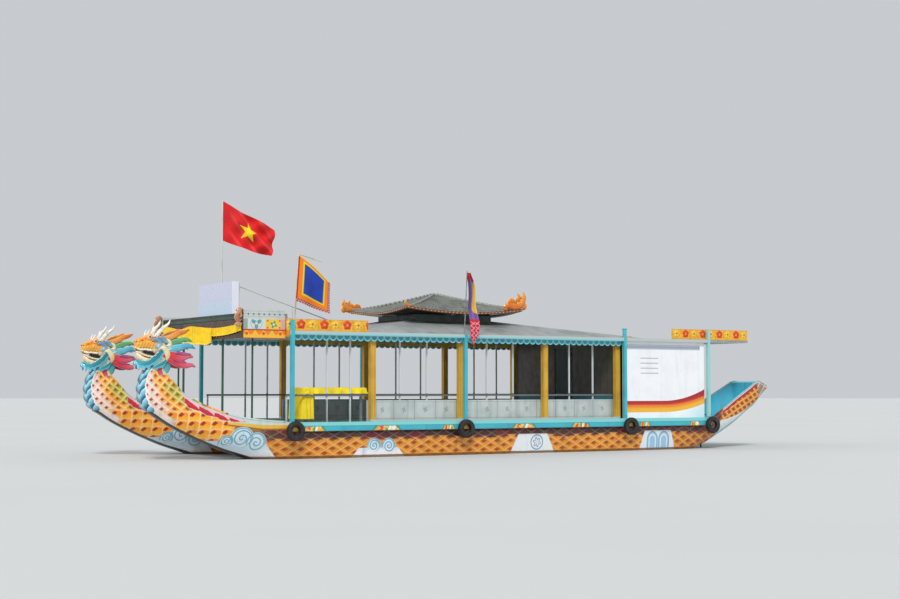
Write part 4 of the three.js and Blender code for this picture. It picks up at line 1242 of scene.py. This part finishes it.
# The leaves of a head and its mane, each with its thickness and waves. Columns: x, out, z, half width
LEAVES = {
    "dragon_beard": [
        ([(8.20, 0.19, 2.80, 0.04), (8.25, 0.205, 2.69, 0.075), (8.36, 0.20, 2.56, 0.085),
          (8.52, 0.185, 2.46, 0.09), (8.68, 0.15, 2.43, 0.09), (8.80, 0.09, 2.46, 0.08),
          (8.835, 0.03, 2.53, 0.03)], 0.03, (8, 0.30)),
        ([(8.12, 0.20, 2.56, 0.02), (8.20, 0.21, 2.46, 0.05), (8.34, 0.20, 2.39, 0.055),
          (8.46, 0.17, 2.36, 0.01)], 0.028, (3, 0.2)),
        ([(8.72, 0.05, 2.50, 0.06), (8.77, 0.045, 2.42, 0.045), (8.80, 0.03, 2.365, 0.006)], 0.03),
    ],
    "dragon_cheek": [
        ([(8.33, 0.215, 2.76, 0.015), (8.24, 0.235, 2.79, 0.045), (8.16, 0.24, 2.73, 0.06),
          (8.12, 0.235, 2.62, 0.055), (8.14, 0.22, 2.52, 0.015)], 0.03),
        ([(8.14, 0.20, 2.98, 0.015), (8.08, 0.215, 2.92, 0.04), (8.07, 0.21, 2.84, 0.045),
          (8.11, 0.20, 2.78, 0.015)], 0.03),
    ],
    "dragon_brow": [
        ([(8.47, 0.19, 2.93, 0.012), (8.40, 0.215, 2.96, 0.035), (8.31, 0.22, 2.93, 0.045),
          (8.28, 0.22, 2.86, 0.045), (8.34, 0.22, 2.81, 0.035), (8.41, 0.215, 2.84, 0.012)], 0.035),
        ([(8.30, 0.21, 3.00, 0.02), (8.22, 0.225, 2.98, 0.04), (8.14, 0.22, 2.92, 0.035),
          (8.02, 0.20, 2.92, 0.008)], 0.03),
    ],
    "gill": [
        ([(8.22, 0.19, 2.63, 0.04), (8.08, 0.22, 2.63, 0.085), (7.92, 0.235, 2.60, 0.10),
          (7.78, 0.235, 2.60, 0.085), (7.66, 0.23, 2.62, 0.06), (7.54, 0.21, 2.60, 0.02)], 0.035),
        ([(8.12, 0.19, 2.55, 0.04), (7.98, 0.215, 2.50, 0.07), (7.84, 0.22, 2.45, 0.075),
          (7.70, 0.215, 2.42, 0.065), (7.58, 0.21, 2.43, 0.045), (7.48, 0.20, 2.39, 0.015)], 0.035),
    ],
    "gill_rib": [
        ([(8.00, 0.245, 2.66, 0.012), (7.88, 0.26, 2.67, 0.035), (7.74, 0.26, 2.66, 0.04),
          (7.60, 0.245, 2.66, 0.01)], 0.022),
        ([(8.00, 0.235, 2.52, 0.012), (7.86, 0.245, 2.50, 0.026), (7.70, 0.24, 2.49, 0.006)], 0.02),
    ],
    "dragon_collar": [
        ([(8.17, 0.13, 2.50, 0.06), (8.12, 0.165, 2.42, 0.085), (8.13, 0.165, 2.32, 0.075),
          (8.17, 0.15, 2.23, 0.015)], 0.03),
    ],
    "wave_blue": [
        ([(8.20, 0.18, 2.78, 0.05), (8.02, 0.205, 2.76, 0.08), (7.86, 0.215, 2.79, 0.075),
          (7.72, 0.215, 2.84, 0.062), (7.60, 0.21, 2.83, 0.05), (7.48, 0.19, 2.78, 0.012)], 0.034),
        ([(8.10, 0.17, 2.84, 0.02), (7.98, 0.185, 2.83, 0.035), (7.86, 0.185, 2.87, 0.006)], 0.028),
    ],
    "wave_green": [
        ([(8.16, 0.15, 2.86, 0.04), (8.02, 0.175, 2.88, 0.06), (7.88, 0.18, 2.93, 0.06),
          (7.76, 0.18, 2.97, 0.052), (7.65, 0.175, 2.97, 0.042), (7.54, 0.155, 2.93, 0.01)], 0.032),
    ],
    "wave_orange": [
        ([(8.20, 0.10, 2.97, 0.06), (8.06, 0.13, 3.00, 0.065), (7.94, 0.14, 3.05, 0.06),
          (7.82, 0.135, 3.11, 0.055), (7.70, 0.12, 3.14, 0.045), (7.58, 0.10, 3.19, 0.012)], 0.035),
        ([(8.14, 0.05, 3.04, 0.04), (8.00, 0.055, 3.10, 0.045), (7.88, 0.05, 3.14, 0.035),
          (7.78, 0.045, 3.20, 0.008)], 0.03),
    ],
}
# Where the face is drawn forward, over what length and how far
SNOUT_TIP = 8.85
SNOUT_LENGTH = 0.42
DRAWN_FORWARD = 0.09


def beside(side, rows):
    """Points beside a head's middle. Each row is x, how far out and z, and may hold a half width."""
    return [(x, HULL_Y + side * out, *rest) for x, out, *rest in rows]


def carved(bm, name, paint, slot="head_paint", node="dragon_head"):
    """Draws the face forward, so that the snout is short, and makes the piece."""
    for vert in bm.verts:
        way = min(1.0, max(0.0, (SNOUT_TIP - vert.co.x) / SNOUT_LENGTH))
        vert.co.x += DRAWN_FORWARD * way * way * (3 - 2 * way)
    made(bm, name, paint, slot, pair=True, stands_for=(node,))


def head_core():
    """The skull with its eyes and nostrils, the jaw, the dark mouth and the tongue."""
    bm = bmesh.new()
    pod(bm, SKULL, 28, 36)
    for side in (1, -1):
        ball(bm, *beside(side, [(8.79, 0.085, 2.93)]), 0.05, (1.2, 0.9, 0.75))
        ball(bm, *beside(side, [(8.50, 0.135, 3.01)]), 0.085, (1.0, 0.75, 0.95), 3)
        pipe(bm, beside(side, UPPER_LIP), 0.022, 8)
        pipe(bm, beside(side, SNOUT_SIDE), [0.04, 0.035, 0.02], 8)
    pipe(bm, beside(1, NOSE), [0.06, 0.05, 0.04, 0.03], 8)
    carved(bm, "dragon_skull", snout_paint())

    bm = bmesh.new()
    pod(bm, JAW, 24, 30)
    for side in (1, -1):
        pipe(bm, beside(side, LOWER_LIP), 0.02, 8)
    carved(bm, "dragon_jaw", jaw_paint())

    bm = bmesh.new()
    pod(bm, MOUTH, 16, 12)
    for side in (1, -1):
        ball(bm, *beside(side, [(8.515, 0.202, 3.015)]), 0.026, (1, 0.6, 1))
        ball(bm, *beside(side, [(8.845, 0.06, 2.915)]), 0.016, (0.6, 1, 0.8), 1)
    carved(bm, "dragon_mouth", glaze("mouth_dark", "#2a1214", "#140708", 0.5))

    bm = bmesh.new()
    ribbon(bm, beside(1, TONGUE), 0.06, 10, 16)
    for side in (1, -1):
        ball(bm, *beside(side, [(8.40, 0.21, 2.99)]), 0.03, (1, 0.5, 1))
    carved(bm, "dragon_tongue", glaze("tongue_scarlet", "#c9202a", "#8f141e", 0.3))


def head_horns():
    """The whites of the eyes, the teeth, the horns and the small spikes."""
    ivory = glaze("horn_ivory", "#f4f2e6", "#d9d2b8", 0.3)
    along, _ = ivory.chart("skin")
    ivory.lay(along.line(0.09, 0.02) * along.rise(0.7, 0.5) * 0.4, "#a79c7c")
    bm = bmesh.new()
    for side in (1, -1):
        ball(bm, *beside(side, [(8.51, 0.185, 3.01)]), 0.045, (1, 0.6, 1))
        for i in range(7):
            x = 8.49 + i * 0.048
            high = 0.06 if i in (5, 6) else 0.028
            upper, lower = 0.178 - i * 0.011, 0.163 - i * 0.012
            gum = 2.615 + i * 0.0135
            rod(bm, *beside(side, [(x, upper, 2.745), (x + 0.004, upper, 2.745 - high)]), 0.013, 0.001, 6)
            rod(bm, *beside(side, [(x, lower, gum), (x, lower, gum + high * 0.8)]), 0.012, 0.001, 6)
        pipe(bm, beside(side, HORN), [0.058, 0.05, 0.04, 0.026, 0.004], 12, 24)
        pipe(bm, beside(side, PRONG), [0.028, 0.018, 0.003], 8, 10)
        for x, z, out, tall in ((8.46, 3.05, 0.10, 0.10), (8.53, 3.06, 0.07, 0.12), (8.38, 3.03, 0.15, 0.09)):
            tip = out + 0.02
            spike = [(x, out, z - 0.02), (x - 0.02, tip, z + tall * 0.5), (x - 0.06, tip, z + tall)]
            pipe(bm, beside(side, spike), [0.03, 0.02, 0.003], 8, 8)
        for i in range(5):
            x, z = 8.16 - i * 0.02, 2.92 - i * 0.085
            spike = [(x, 0.20, z), (x - 0.05, 0.235, z + 0.01), (x - 0.10, 0.24, z + 0.03)]
            pipe(bm, beside(side, spike), [0.022, 0.014, 0.003], 8, 6)
    carved(bm, "dragon_horns", ivory)


def heads():
    """The carved heads, with the leaves of their beards, brows and manes."""
    head_core()
    head_horns()
    teal = leaf_paint("beard_teal", "#1f7f88", "#2f98a6", "#cdf1f4")
    _, across = teal.chart("skin")
    lower = (across * TURN).cosine()
    teal.lay(lower.rise(-0.10, -0.35), "#5cc3de")
    teal.lay(lower.rise(-0.80, -0.90), "#e4fbff")
    head, mane = ("head_paint", "dragon_head"), ("mane_paint", "dragon_mane")
    for name, paint, (slot, node) in (
        ("dragon_beard", teal, head),
        ("dragon_cheek", leaf_paint("cheek_cream", "#f6ecc6", "#f2e09c", "#fffdf4", 0.15), head),
        ("dragon_brow", leaf_paint("brow_grey", "#6f9cbc", "#9cc2d6", "#e8f3f5", 0.25), head),
        ("gill", leaf_paint("gill_red", "#e0283c", "#ea6f86", "#f6b9c0", 0.2), mane),
        ("gill_rib", leaf_paint("gill_plum", "#9a3a74", "#c0628c", "#e79ab4", 0.2), mane),
        ("dragon_collar", leaf_paint("collar_teal", "#3f98a4", "#5fb0b2", "#c3dfba", 0.2), head),
        ("wave_blue", leaf_paint("wave_blue", "#6fc0d0", "#4fb2dc", "#bdeffb"), mane),
        ("wave_green", leaf_paint("wave_green", "#5aa874", "#6fb86a", "#c8f0b4", 0.25), mane),
        ("wave_orange", leaf_paint("wave_orange", "#f0a24c", "#ee7f22", "#f9c878", 0.25), mane),
    ):
        bm = bmesh.new()
        for side in (1, -1):
            for rows, thick, *frill in LEAVES[name]:
                ribbon(bm, beside(side, rows), thick, 12, 8 * len(rows), *frill)
        carved(bm, name, paint, slot, node)


# Tyres

# A tyre's section. Columns: radius, out
TYRE_RING = [
    (0.095, -0.035), (0.118, -0.056), (0.160, -0.060), (0.195, -0.053), (0.212, -0.036), (0.215, 0.0),
    (0.212, 0.036), (0.195, 0.053), (0.160, 0.060), (0.118, 0.056), (0.095, 0.035), (0.112, 0.024),
    (0.182, 0.034), (0.193, 0.0), (0.182, -0.034), (0.112, -0.024), (0.095, -0.035),
]


def tyres():
    rubber = Paint("tyre_rubber", "#1b1a1a", 0.75)
    along, across = rubber.chart("skin")
    tread = (along * 48.0).part()
    blocks = abs(tread - 0.5).rise(0.36, 0.42) * across.band(0.20, 0.42, 0.01)
    ribs = abs(across - 0.31).line(0.045, 0.012) * across.band(0.20, 0.42, 0.01)
    rubber.uneven("#2d2a28", 0.8, 14.0)
    rubber.lay(rubber.noise(5.0, 4.0).rise(0.5, 0.7) * 0.5, "#4b4440")
    rubber.lay(across.band(0.47, 0.485, 0.004).most(across.band(0.53, 0.54, 0.004)) * 0.6, "#454140")
    rubber.relief(1.0 - blocks.most(ribs), 0.008, 0.9)
    rubber.worn(0.6, 0.9)
    for node in ("tyre_1", "tyre_2", "tyre_3", "tyre_4"):
        low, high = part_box(node + "_port")
        middle = (low + high) / 2

        def place(along, across):
            radius, out = between(TYRE_RING, across)
            angle = TURN * along
            return middle.x + radius * math.cos(angle), middle.y + out, middle.z + radius * math.sin(angle)

        bm = bmesh.new()
        surface(bm, 48, 32, place)
        made(bm, node + "_worn", rubber, "tyre_rubber", pair=True, stands_for=(node,))


# Pavilion roof

EAVES = 3.72
CROWN = 3.80
ROOF_X = 1.65
ROOF_Y = 1.45
TILE_ROWS = 28
# Columns: share of the way out from the top, height
ROOF_CURVE = [(1.0, EAVES + 0.04), (0.62, EAVES + 0.23), (0.3, EAVES + 0.385), (0.02, 4.26)]
RIDGE = [(0.03, 4.262), (0.3, 4.125), (0.62, 3.985), (0.88, 3.90), (1.0, 3.885)]
# The board under the eaves. Columns: share of the way out, height above the eaves
EAVES_BOARD = [
    (1.0, 0.045), (1.0, -0.005), (0.98, -0.005), (0.62, 0.006), (0.62, 0.02), (0.975, 0.03), (1.0, 0.045),
]
# The leaves of a finial, each with its thickness, sides, steps and waves. Columns: x, z, half width
FINIAL = [
    ([(-0.42, 0.10, 0.03), (-0.30, 0.14, 0.07), (-0.18, 0.12, 0.08), (-0.06, 0.15, 0.085),
      (0.02, 0.20, 0.075), (0.03, 0.28, 0.055), (-0.03, 0.30, 0.02)], 0.045, 10, 30, (6, 0.2)),
    ([(0.02, 0.22, 0.05), (0.06, 0.28, 0.05), (0.04, 0.40, 0.008)], 0.035, 8, 10),
    ([(-0.08, 0.22, 0.05), (-0.06, 0.30, 0.045), (-0.10, 0.37, 0.008)], 0.03, 8, 10),
    ([(-0.28, 0.14, 0.03), (-0.30, 0.20, 0.055), (-0.24, 0.24, 0.055), (-0.19, 0.21, 0.04),
      (-0.22, 0.18, 0.012)], 0.035, 8, 16),
    ([(-0.14, 0.15, 0.03), (-0.15, 0.21, 0.05), (-0.10, 0.26, 0.045), (-0.05, 0.24, 0.01)], 0.035, 8, 14),
    ([(0.0, 0.12, 0.03), (0.05, 0.10, 0.05), (0.08, 0.15, 0.045), (0.06, 0.18, 0.012)], 0.035, 8, 14),
    ([(-0.40, 0.06, 0.04), (-0.34, 0.12, 0.045), (-0.38, 0.18, 0.008)], 0.03, 8, 12),
]
CORNER_LEAF = [
    (-0.14, 0.08, 0.02), (-0.06, 0.09, 0.03), (0.01, 0.12, 0.03), (0.03, 0.18, 0.022), (-0.01, 0.20, 0.006),
]


def roof_edge(share):
    """A point on the unit square's edge, and how far the corners' lift raises it."""
    turn = (share % 1.0) * 4
    side, way = int(turn) % 4, (turn % 1.0) * 2 - 1
    u, v = ((1, way), (-way, 1), (-1, -way), (way, -1))[side]
    return u, v, 0.115 * way * way


def pavilion_roof(mid_x):
    """The tiles and the board under their eaves."""
    tiles = Paint("pavilion_tiles", "#6f736d", 0.65)
    along, across = tiles.chart("skin")
    tiles.uneven("#4f544e", 0.8, 2.4)
    tiles.uneven("#93958c", 0.5, 6.0)
    course = across.line(0.11, 0.02)
    tiles.lay(course * 0.5, "#43473f")
    tiles.lay(abs(along.part() - 0.5).rise(0.36, 0.46) * 0.6, "#42463f")
    tiles.lay(tiles.noise(2.0, 5.0).rise(0.56, 0.7) * 0.4, "#5d6a48")
    tiles.relief(course, 0.004)
    tiles.worn(0.5, 0.8)
    count = 4 * TILE_ROWS

    def slope(along, across):
        u, v, lift = roof_edge(along)
        size, height = between(ROOF_CURVE, across)
        wave = abs(math.sin(math.pi * along * count)) * 0.014 * (1 - across ** 4)
        z = height + lift * max(0.0, (size - 0.6) / 0.4) + wave
        return mid_x + u * ROOF_X * size, v * ROOF_Y * size, z

    bm = bmesh.new()
    surface(bm, count * 6, 14, slope, charts={"skin": lambda a, b: (a * count, b)})
    made(bm, "pavilion_tiles", tiles, "roof_sheet", stands_for=("pavilion_roof",))

    trim = glaze("eaves_trim", "#8a4a26", "#5f331c", 0.5, 6.0)
    _, across = trim.chart("skin")
    # The board's underside is near black: painted shade under the eaves
    trim.lay(across.rise(0.24, 0.30), "#241c18")

    def board(along, across):
        u, v, lift = roof_edge(along)
        size, height = EAVES_BOARD[round(across * 6)]
        z = EAVES + height + lift * max(0, (size - 0.8) / 0.2)
        return mid_x + u * ROOF_X * size, v * ROOF_Y * size, z

    bm = bmesh.new()
    surface(bm, 96, 6, board)
    made(bm, "pavilion_trim", trim, "blossom_board", stands_for=("pavilion_roof",))


def pavilion():
    low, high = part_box("pavilion_riser")
    mid_x = (low.x + high.x) / 2
    pavilion_roof(mid_x)

    ridge = glaze("ridge_mortar", "#9a9c94", "#777a72", 0.6, 6.0)
    along, across = ridge.chart("skin")
    ridge.lay((along * 26.0).part().band(0.35, 0.65, 0.05) * across.band(0.1, 0.9, 0.02), "#4d4f49")
    bm = bmesh.new()
    for su, sv in ((1, 1), (1, -1), (-1, 1), (-1, -1)):
        points = [(mid_x + su * ROOF_X * size, sv * ROOF_Y * size, height) for size, height in RIDGE]
        pipe(bm, points, [0.035, 0.035, 0.035, 0.03, 0.02], 8, 20, side=(0, 0, 1))
    ball(bm, (mid_x, 0, 4.25), 0.06, (1.4, 1.2, 0.6))
    made(bm, "pavilion_ridges", ridge, "roof_sheet", stands_for=("pavilion_roof",))

    dots = glaze("eaves_dots", "#e9d9b0", "#d3b98a", 0.4, 20.0)
    bm = bmesh.new()
    for side in range(4):
        count = int(2 * (ROOF_X if side % 2 else ROOF_Y) / 0.10)
        for i in range(count):
            u, v, lift = roof_edge((side + (i + 0.5) / count) / 4)
            centre = (mid_x + u * (ROOF_X + 0.004), v * (ROOF_Y + 0.004), EAVES + 0.018 + lift)
            ball(bm, centre, 0.014, (1, 1, 0.9), 1)
    made(bm, "pavilion_dots", dots, "blossom_board")

    flame = leaf_paint("finial_orange", "#e8741c", "#f39a2c", "#fbcf6a", 0.3)
    bm = bmesh.new()
    for su, sv, out, tall in ((1, -1, 0.07, 0.98), (-1, 1, 0.0, 1.35)):
        start, y = ROOF_X + out, sv * (ROOF_Y - 0.035)
        for rows, *form in FINIAL:
            leaf = []
            for x, z, half in rows:
                leaf.append((mid_x + su * (start + x * 1.25), y, CROWN + z * tall - 0.03, half))
            ribbon(bm, leaf, *form)
    for su, sv in ((1, 1), (-1, -1)):
        y = sv * (ROOF_Y - 0.02)
        rows = [(mid_x + su * (ROOF_X + x), y, CROWN + z, half) for x, z, half in CORNER_LEAF]
        ribbon(bm, rows, 0.03, 8, 16)
    made(bm, "pavilion_finials", flame, "blossom_board", stands_for=("pavilion_roof",))


# Cloth

THREADS = 900.0
GATHER = 1.30
SLICES = 64


def weave(name, base, roughness=0.8):
    """A cloth of crossed threads."""
    paint = Paint(name, base, roughness)
    x, y, z = paint.place()
    weft = (z * THREADS).sine() * ((x + y) * THREADS).sine()
    paint.uneven("#3a2a20", 0.12, 3.0)
    paint.relief(weft * 0.4 + paint.noise(60.0, 3.0) * 0.6, 0.0006, 0.6)
    return paint


def fold_depth(width, cloth, folds):
    """How deep a row of round folds is that takes up a length of cloth in a width."""
    low, high = 0.0, cloth
    for _ in range(30):
        depth = (low + high) / 2
        length = 0.0
        for i in range(SLICES):
            slope = TURN * folds * depth * math.cos(TURN * folds * (i + 0.5) / SLICES / max(folds, 1))
            length += math.hypot(width, slope) / SLICES
        if length < cloth:
            low = depth
        else:
            high = depth
    return (low + high) / 2


def cloth_piece(name, paint, slot, node, grid, place, area=None, charts=None):
    """One cloth, in the place of a CAD node. grid counts its cells along and across."""
    bm = bmesh.new()
    surface(bm, *grid, place, charts=charts)
    piece = made(bm, name, paint, slot, stands_for=(node,), outward=False)


def on_sheet(corners, along, across):
    """The x and z at two shares of a sheet. Its corners go down the pole and up the loose edge."""
    top = [a + (b - a) * along for a, b in zip(corners[0], corners[3])]
    foot = [a + (b - a) * along for a, b in zip(corners[1], corners[2])]
    return [a + (b - a) * across for a, b in zip(top, foot)]


def star(u, v, centre, radius):
    """A five-pointed star in a plane of two lengths, with a point up."""
    across, up = (u - centre[0]) / radius, (v - centre[1]) / radius
    turn = across.math("ARCTAN2", up) * (5 / TURN)
    off = abs((turn + 0.5).part() - 0.5) * (TURN / 5)
    return (across.reach(up) * (off - TURN / 5).cosine()).rise(0.32, 0.295)


def lozenges(u, v, count):
    """0 on the slanting lines of a net of lozenges, rising between them."""
    return abs(((u + v) * count).part() - 0.5).least(abs(((u - v) * count).part() - 0.5))


def national_flag():
    hoist, fly = 0.92, 1.42
    corners = [(6.072, 6.240), (6.072, 5.330), (4.838, 5.030), (4.748, 5.640)]
    pole_y = -0.12
    paint = weave("flag_cloth", "#e0141a")
    u, v = paint.chart("skin")
    paint.lay(star(u, v, (0.70, 0.47), 0.27), "#f8dc1c")
    paint.lay(u.rise(0.03, 0.024), "#b80f16")
    # Paler red lines along the diagonal folds: painted highlights on the folds
    folds = (u * 0.9 + v * 1.05).line(0.46, 0.10, 0.9)
    paint.lay(folds * u.rise(0.1, 0.3) * 0.25, "#f4706a")

    def place(along, across):
        x, z = on_sheet(corners, along, across)
        swell = min(1, along * 2.5)
        z -= 0.035 * math.sin(math.pi * along) * across
        fold = math.sin(TURN * (1.55 * across - 1.25 * along + 0.15))
        small = math.sin(TURN * (2.9 * along + 1.3 * across))
        return x + 0.02 * swell * small, pole_y + swell * (0.065 * fold + 0.025 * small), z

    cloth_piece("national_flag_cloth", paint, "flag_cloth", "national_flag", (72, 48), place,
                charts={"skin": lambda a, b: (a * fly, hoist * (1 - b))})


def festival_flag():
    corners = [(4.797, 4.965), (4.878, 3.90), (4.00, 3.63), (3.975, 4.33)]
    pole_y = 1.2243
    paint = weave("festival_cloth", "#1a3fae")
    u, v = paint.chart("skin")
    paint.lay(paint.noise(3.0, 2.0).rise(0.45, 0.65) * 0.5, "#14297c")
    inside = (u - 0.20).least(0.79 - u).least((v - 0.25).least(0.89 - v))
    paint.lay(inside.rise(0.0, -0.006), "#3f8a5a")
    paint.lay(inside.rise(-0.014, -0.020), "#f2c92a")
    paint.lay(inside.rise(-0.050, -0.058), "#f08318")
    paint.lay(u.rise(0.045, 0.035), "#b02a1c")
    paint.lay(v.rise(0.975, 0.985), "#f0b830")
    border = (0.925 - u).least(v - 0.09)
    paint.lay(border.rise(0.0, -0.005), "#a3202a")
    slant = lozenges(u, v, 13.0)
    paint.lay(border.rise(-0.010, -0.016) * slant.rise(0.16, 0.08) * 0.75, "#dccfd0")
    loose = (1.0 - u).least(v)
    paint.give("Alpha", loose.rise(slant * 0.07 - 0.002, slant * 0.07 + 0.002))

    def place(along, across):
        x, z = on_sheet(corners, along, across)
        z += 0.03 * math.sin(math.pi * along) * (1 - across)
        wave = 0.045 * math.sin(5.2 * along + 1.6 * across) * min(1, along * 3) * (0.4 + across)
        return x, pole_y + wave, z

    cloth_piece("festival_flag_cloth", paint, "festival_cloth", "festival_flag", (48, 48), place,
                area=0.80, charts={"skin": lambda a, b: (a, 1 - b)})


# Columns: width, middle
PENNANT = [
    (0.07, 0.975), (0.15, 0.90), (0.17, 0.88), (0.19, 0.885), (0.24, 0.89), (0.27, 0.91), (0.22, 0.94),
    (0.03, 0.965),
]
PENNANT_CLOTH = 0.46
PENNANT_TOP = 4.63
PENNANT_FOOT = 2.95
PENNANT_Y = 2.398
PENNANT_REACH = 2.639
DEEPEST_FOLD = 0.055


def pennant():
    paint = weave("pennant_cloth", "#765a94")
    x, _, z = paint.place()
    seam = x + (z * 3.0).sine() * 0.03
    paint.lay(seam.rise(0.895, 0.875), "#e3bd54")
    paint.lay((z + x * 0.8).rise(5.20, 5.22), "#c02a38")
    paint.lay((z - x * 0.6).rise(3.22, 3.18), "#7d5a98")
    paint.lay(z.rise(3.56, 3.52), "#c42438")
    diamonds = lozenges(x, z, 9.0)
    paint.lay(z.rise(3.52, 3.46) * diamonds.rise(0.12, 0.06) * 0.6, "#e6c4cc")
    paint.lay(z.rise(3.56, 3.54) * diamonds.rise(0.34, 0.44) * 0.7, "#4a2440")

    def place(along, across):
        width, middle = between(PENNANT, along)
        cloth = PENNANT_CLOTH * (1 - 0.75 * max(0.0, along - 0.62) / 0.38)
        depth = min(fold_depth(width, cloth, 2) * 0.95, DEEPEST_FOLD)
        swing = min(1.0, max(0.0, (along - 0.45) / 0.35))
        y = PENNANT_Y + 0.19 * swing * swing * (3 - 2 * swing) + depth * math.sin(2 * TURN * across + along)
        z = PENNANT_TOP - (PENNANT_TOP - PENNANT_FOOT) * along
        return middle + width * (across - 0.5), min(y, PENNANT_REACH), z

    cloth_piece("pennant_cloth", paint, "yellow_cloth", "pennant", (48, 40), place,
                area=0.55)


# Columns: y, top, foot
SWAG_PORT = [
    (2.33, 3.33, 3.17), (1.90, 3.30, 3.12), (1.48, 3.28, 3.09), (1.00, 3.27, 3.08), (0.55, 3.28, 3.09),
]
SWAG_STARBOARD = [
    (0.80, 3.28, 2.95), (0.50, 3.29, 2.90), (0.12, 3.32, 2.92), (-0.45, 3.35, 2.94), (-0.98, 3.30, 2.99),
    (-1.55, 3.36, 3.13), (-2.05, 3.41, 3.26),
]
SWAG_REACH = 6.768


def swag():
    paint = weave("swag_cloth", "#f6cf12", 0.7)
    _, v = paint.chart("skin")
    paint.lay(paint.noise(5.0, 2.0, (1, 1, 3)).rise(0.45, 0.7) * 0.5, "#e8a80e")
    paint.lay(v.rise(0.93, 0.96), "#fbe04a")
    for side, rows, out, drop in (
        ("port", SWAG_PORT, 6.722, 0.19),
        ("starboard", SWAG_STARBOARD, 6.736, 0.31),
    ):
        width = rows[0][0] - rows[-1][0]
        cloth = width * GATHER
        folds = round(width * 8)
        deepest = fold_depth(width / folds, cloth / folds, 1)

        def place(along, across):
            y, top, foot = between(rows, along)
            scallop = 0.012 * math.sin(TURN * folds * along)
            depth = deepest * (0.55 + 0.45 * across) * 0.9
            x = out + depth * math.sin(TURN * folds * along + 1.5 * across)
            return min(x, SWAG_REACH), y, top - (top - foot + scallop) * across

        cloth_piece(f"swag_{side}_cloth", paint, "yellow_cloth", "front_swag", (folds * 10, 14), place,
                    area=cloth * drop)


BEND = 0.02
SKIRT_TOP = 1.93
SKIRT_DROP = 0.67


def table_linen():
    low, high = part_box("table")
    paint = weave("table_linen", "#f3dc1c", 0.7)
    _, _, z = paint.place()
    paint.lay(paint.noise(3.0, 2.0).rise(0.45, 0.7) * 0.35, "#e2bf12")
    paint.lay(z.band(1.812, 1.822, 0.002), "#d3a912")
    hang, top = 0.155, high.z + 0.006
    long_side, short_side = high.x - low.x + 2 * hang, high.y - low.y + 2 * hang
    mid = (low + high) / 2

    def bend(reach, half, wave):
        """Where cloth lies that runs over a table's edge: how far out, and how far down."""
        over = abs(reach) - half
        if over <= 0:
            return reach, 0.0
        if over < BEND * math.pi / 2:
            angle = over / BEND
            return math.copysign(half + BEND * math.sin(angle), reach), BEND * (1 - math.cos(angle))
        down = BEND + over - BEND * math.pi / 2
        return math.copysign(half + BEND + wave * down * 0.35, reach), down * 0.985

    def place(along, across):
        x, down_x = bend((along - 0.5) * long_side, (high.x - low.x) / 2, 0.5 + 0.5 * math.sin(across * 26))
        y, down_y = bend((across - 0.5) * short_side, (high.y - low.y) / 2, 0.5 + 0.5 * math.sin(along * 44))
        return mid.x + x, mid.y + y, top - max(down_x, down_y)

    cloth_piece("table_linen", paint, "yellow_cloth", "table_cloth", (90, 50), place)
    skirt = weave("skirt_linen", "#f0d41a", 0.7)
    skirt.lay(skirt.noise(5.0, 2.0).rise(0.45, 0.7) * 0.4, "#dcb410")
    fore, aft, out = high.x + 0.03, high.x - 0.21, high.y + 0.035
    inner = low.y - 0.035
    width = (fore - aft) * 2 + (out - inner)
    cloth = width * 1.45
    folds = 13
    deep = fold_depth(width / folds, cloth / folds, 1) * 0.8

    def around(along, across):
        reach = width * along
        depth = deep * (0.35 + 0.65 * across) * math.sin(TURN * folds * along + across)
        z = SKIRT_TOP - SKIRT_DROP * across
        first, second = fore - aft, fore - aft + out - inner
        flare_out = 0.01 + 0.02 * across + depth
        if reach < first:
            return aft + reach, out + flare_out, z
        if reach < second:
            return fore + flare_out, out - (reach - first), z
        return fore - (reach - second), inner - flare_out, z

    cloth_piece("table_skirt", skirt, "yellow_cloth", "table_cloth", (folds * 12, 16), around,
                area=cloth * 0.58)


# Setting

def studio():
    """The floor at the waterline, soft light and the camera."""
    bm = bmesh.new()
    bmesh.ops.create_circle(bm, cap_ends=True, segments=96, radius=260)
    bmesh.ops.translate(bm, vec=(0, 0, WATERLINE), verts=bm.verts)
    mesh = bpy.data.meshes.new("floor")
    bm.to_mesh(mesh)
    bm.free()
    floor = bpy.data.objects.new("floor", mesh)
    bpy.context.scene.collection.objects.link(floor)
    ground = Paint("pale_floor", "#cfd1d0", 0.8)
    ground.uneven("#c9cbca", 0.3, 0.15)
    mesh.materials.append(ground.material)

    world = bpy.data.worlds.new("soft_room")
    world.use_nodes = True
    world.node_tree.nodes["Background"].inputs["Color"].default_value = (0.93, 0.96, 1.0, 1)
    world.node_tree.nodes["Background"].inputs["Strength"].default_value = 0.62
    bpy.context.scene.world = world
    for name, toward, spread, power in (
        ("key", (-0.45, -0.72, -0.78), 14, 2.0),
        ("fill", (-0.9, 0.25, -0.55), 40, 0.5),
    ):
        lamp = bpy.data.lights.new(name, "SUN")
        lamp.angle, lamp.energy = math.radians(spread), power
        light = bpy.data.objects.new(name, lamp)
        light.rotation_euler = Vector(toward).to_track_quat("-Z", "Y").to_euler()
        bpy.context.scene.collection.objects.link(light)

    lens = bpy.data.cameras.new("camera")
    lens.lens, lens.sensor_width, lens.clip_end = 63.32, 36, 1000
    camera = bpy.data.objects.new("camera", lens)
    camera.location = (21.0403, 33.3306, 1.9)
    camera.rotation_euler = Vector((-0.53348, -0.84388, 0.05708)).to_track_quat("-Z", "Y").to_euler()
    bpy.context.scene.collection.objects.link(camera)
    bpy.context.scene.camera = camera
    bpy.context.scene.view_settings.view_transform = "Standard"


studio()
frame_coat, board_coat = turquoise_frame(), blossom_board()
plain_parts(frame_coat, board_coat)
hull_coat = hull_paint()
dragon_hulls(hull_coat)
sheer_beads(hull_coat)
heads()
tyres()
pavilion()
canopy_trim(board_coat)
post_tops(frame_coat)
valances(valance_paint())
rudders()
national_flag()
festival_flag()
pennant()
swag()
table_linen()
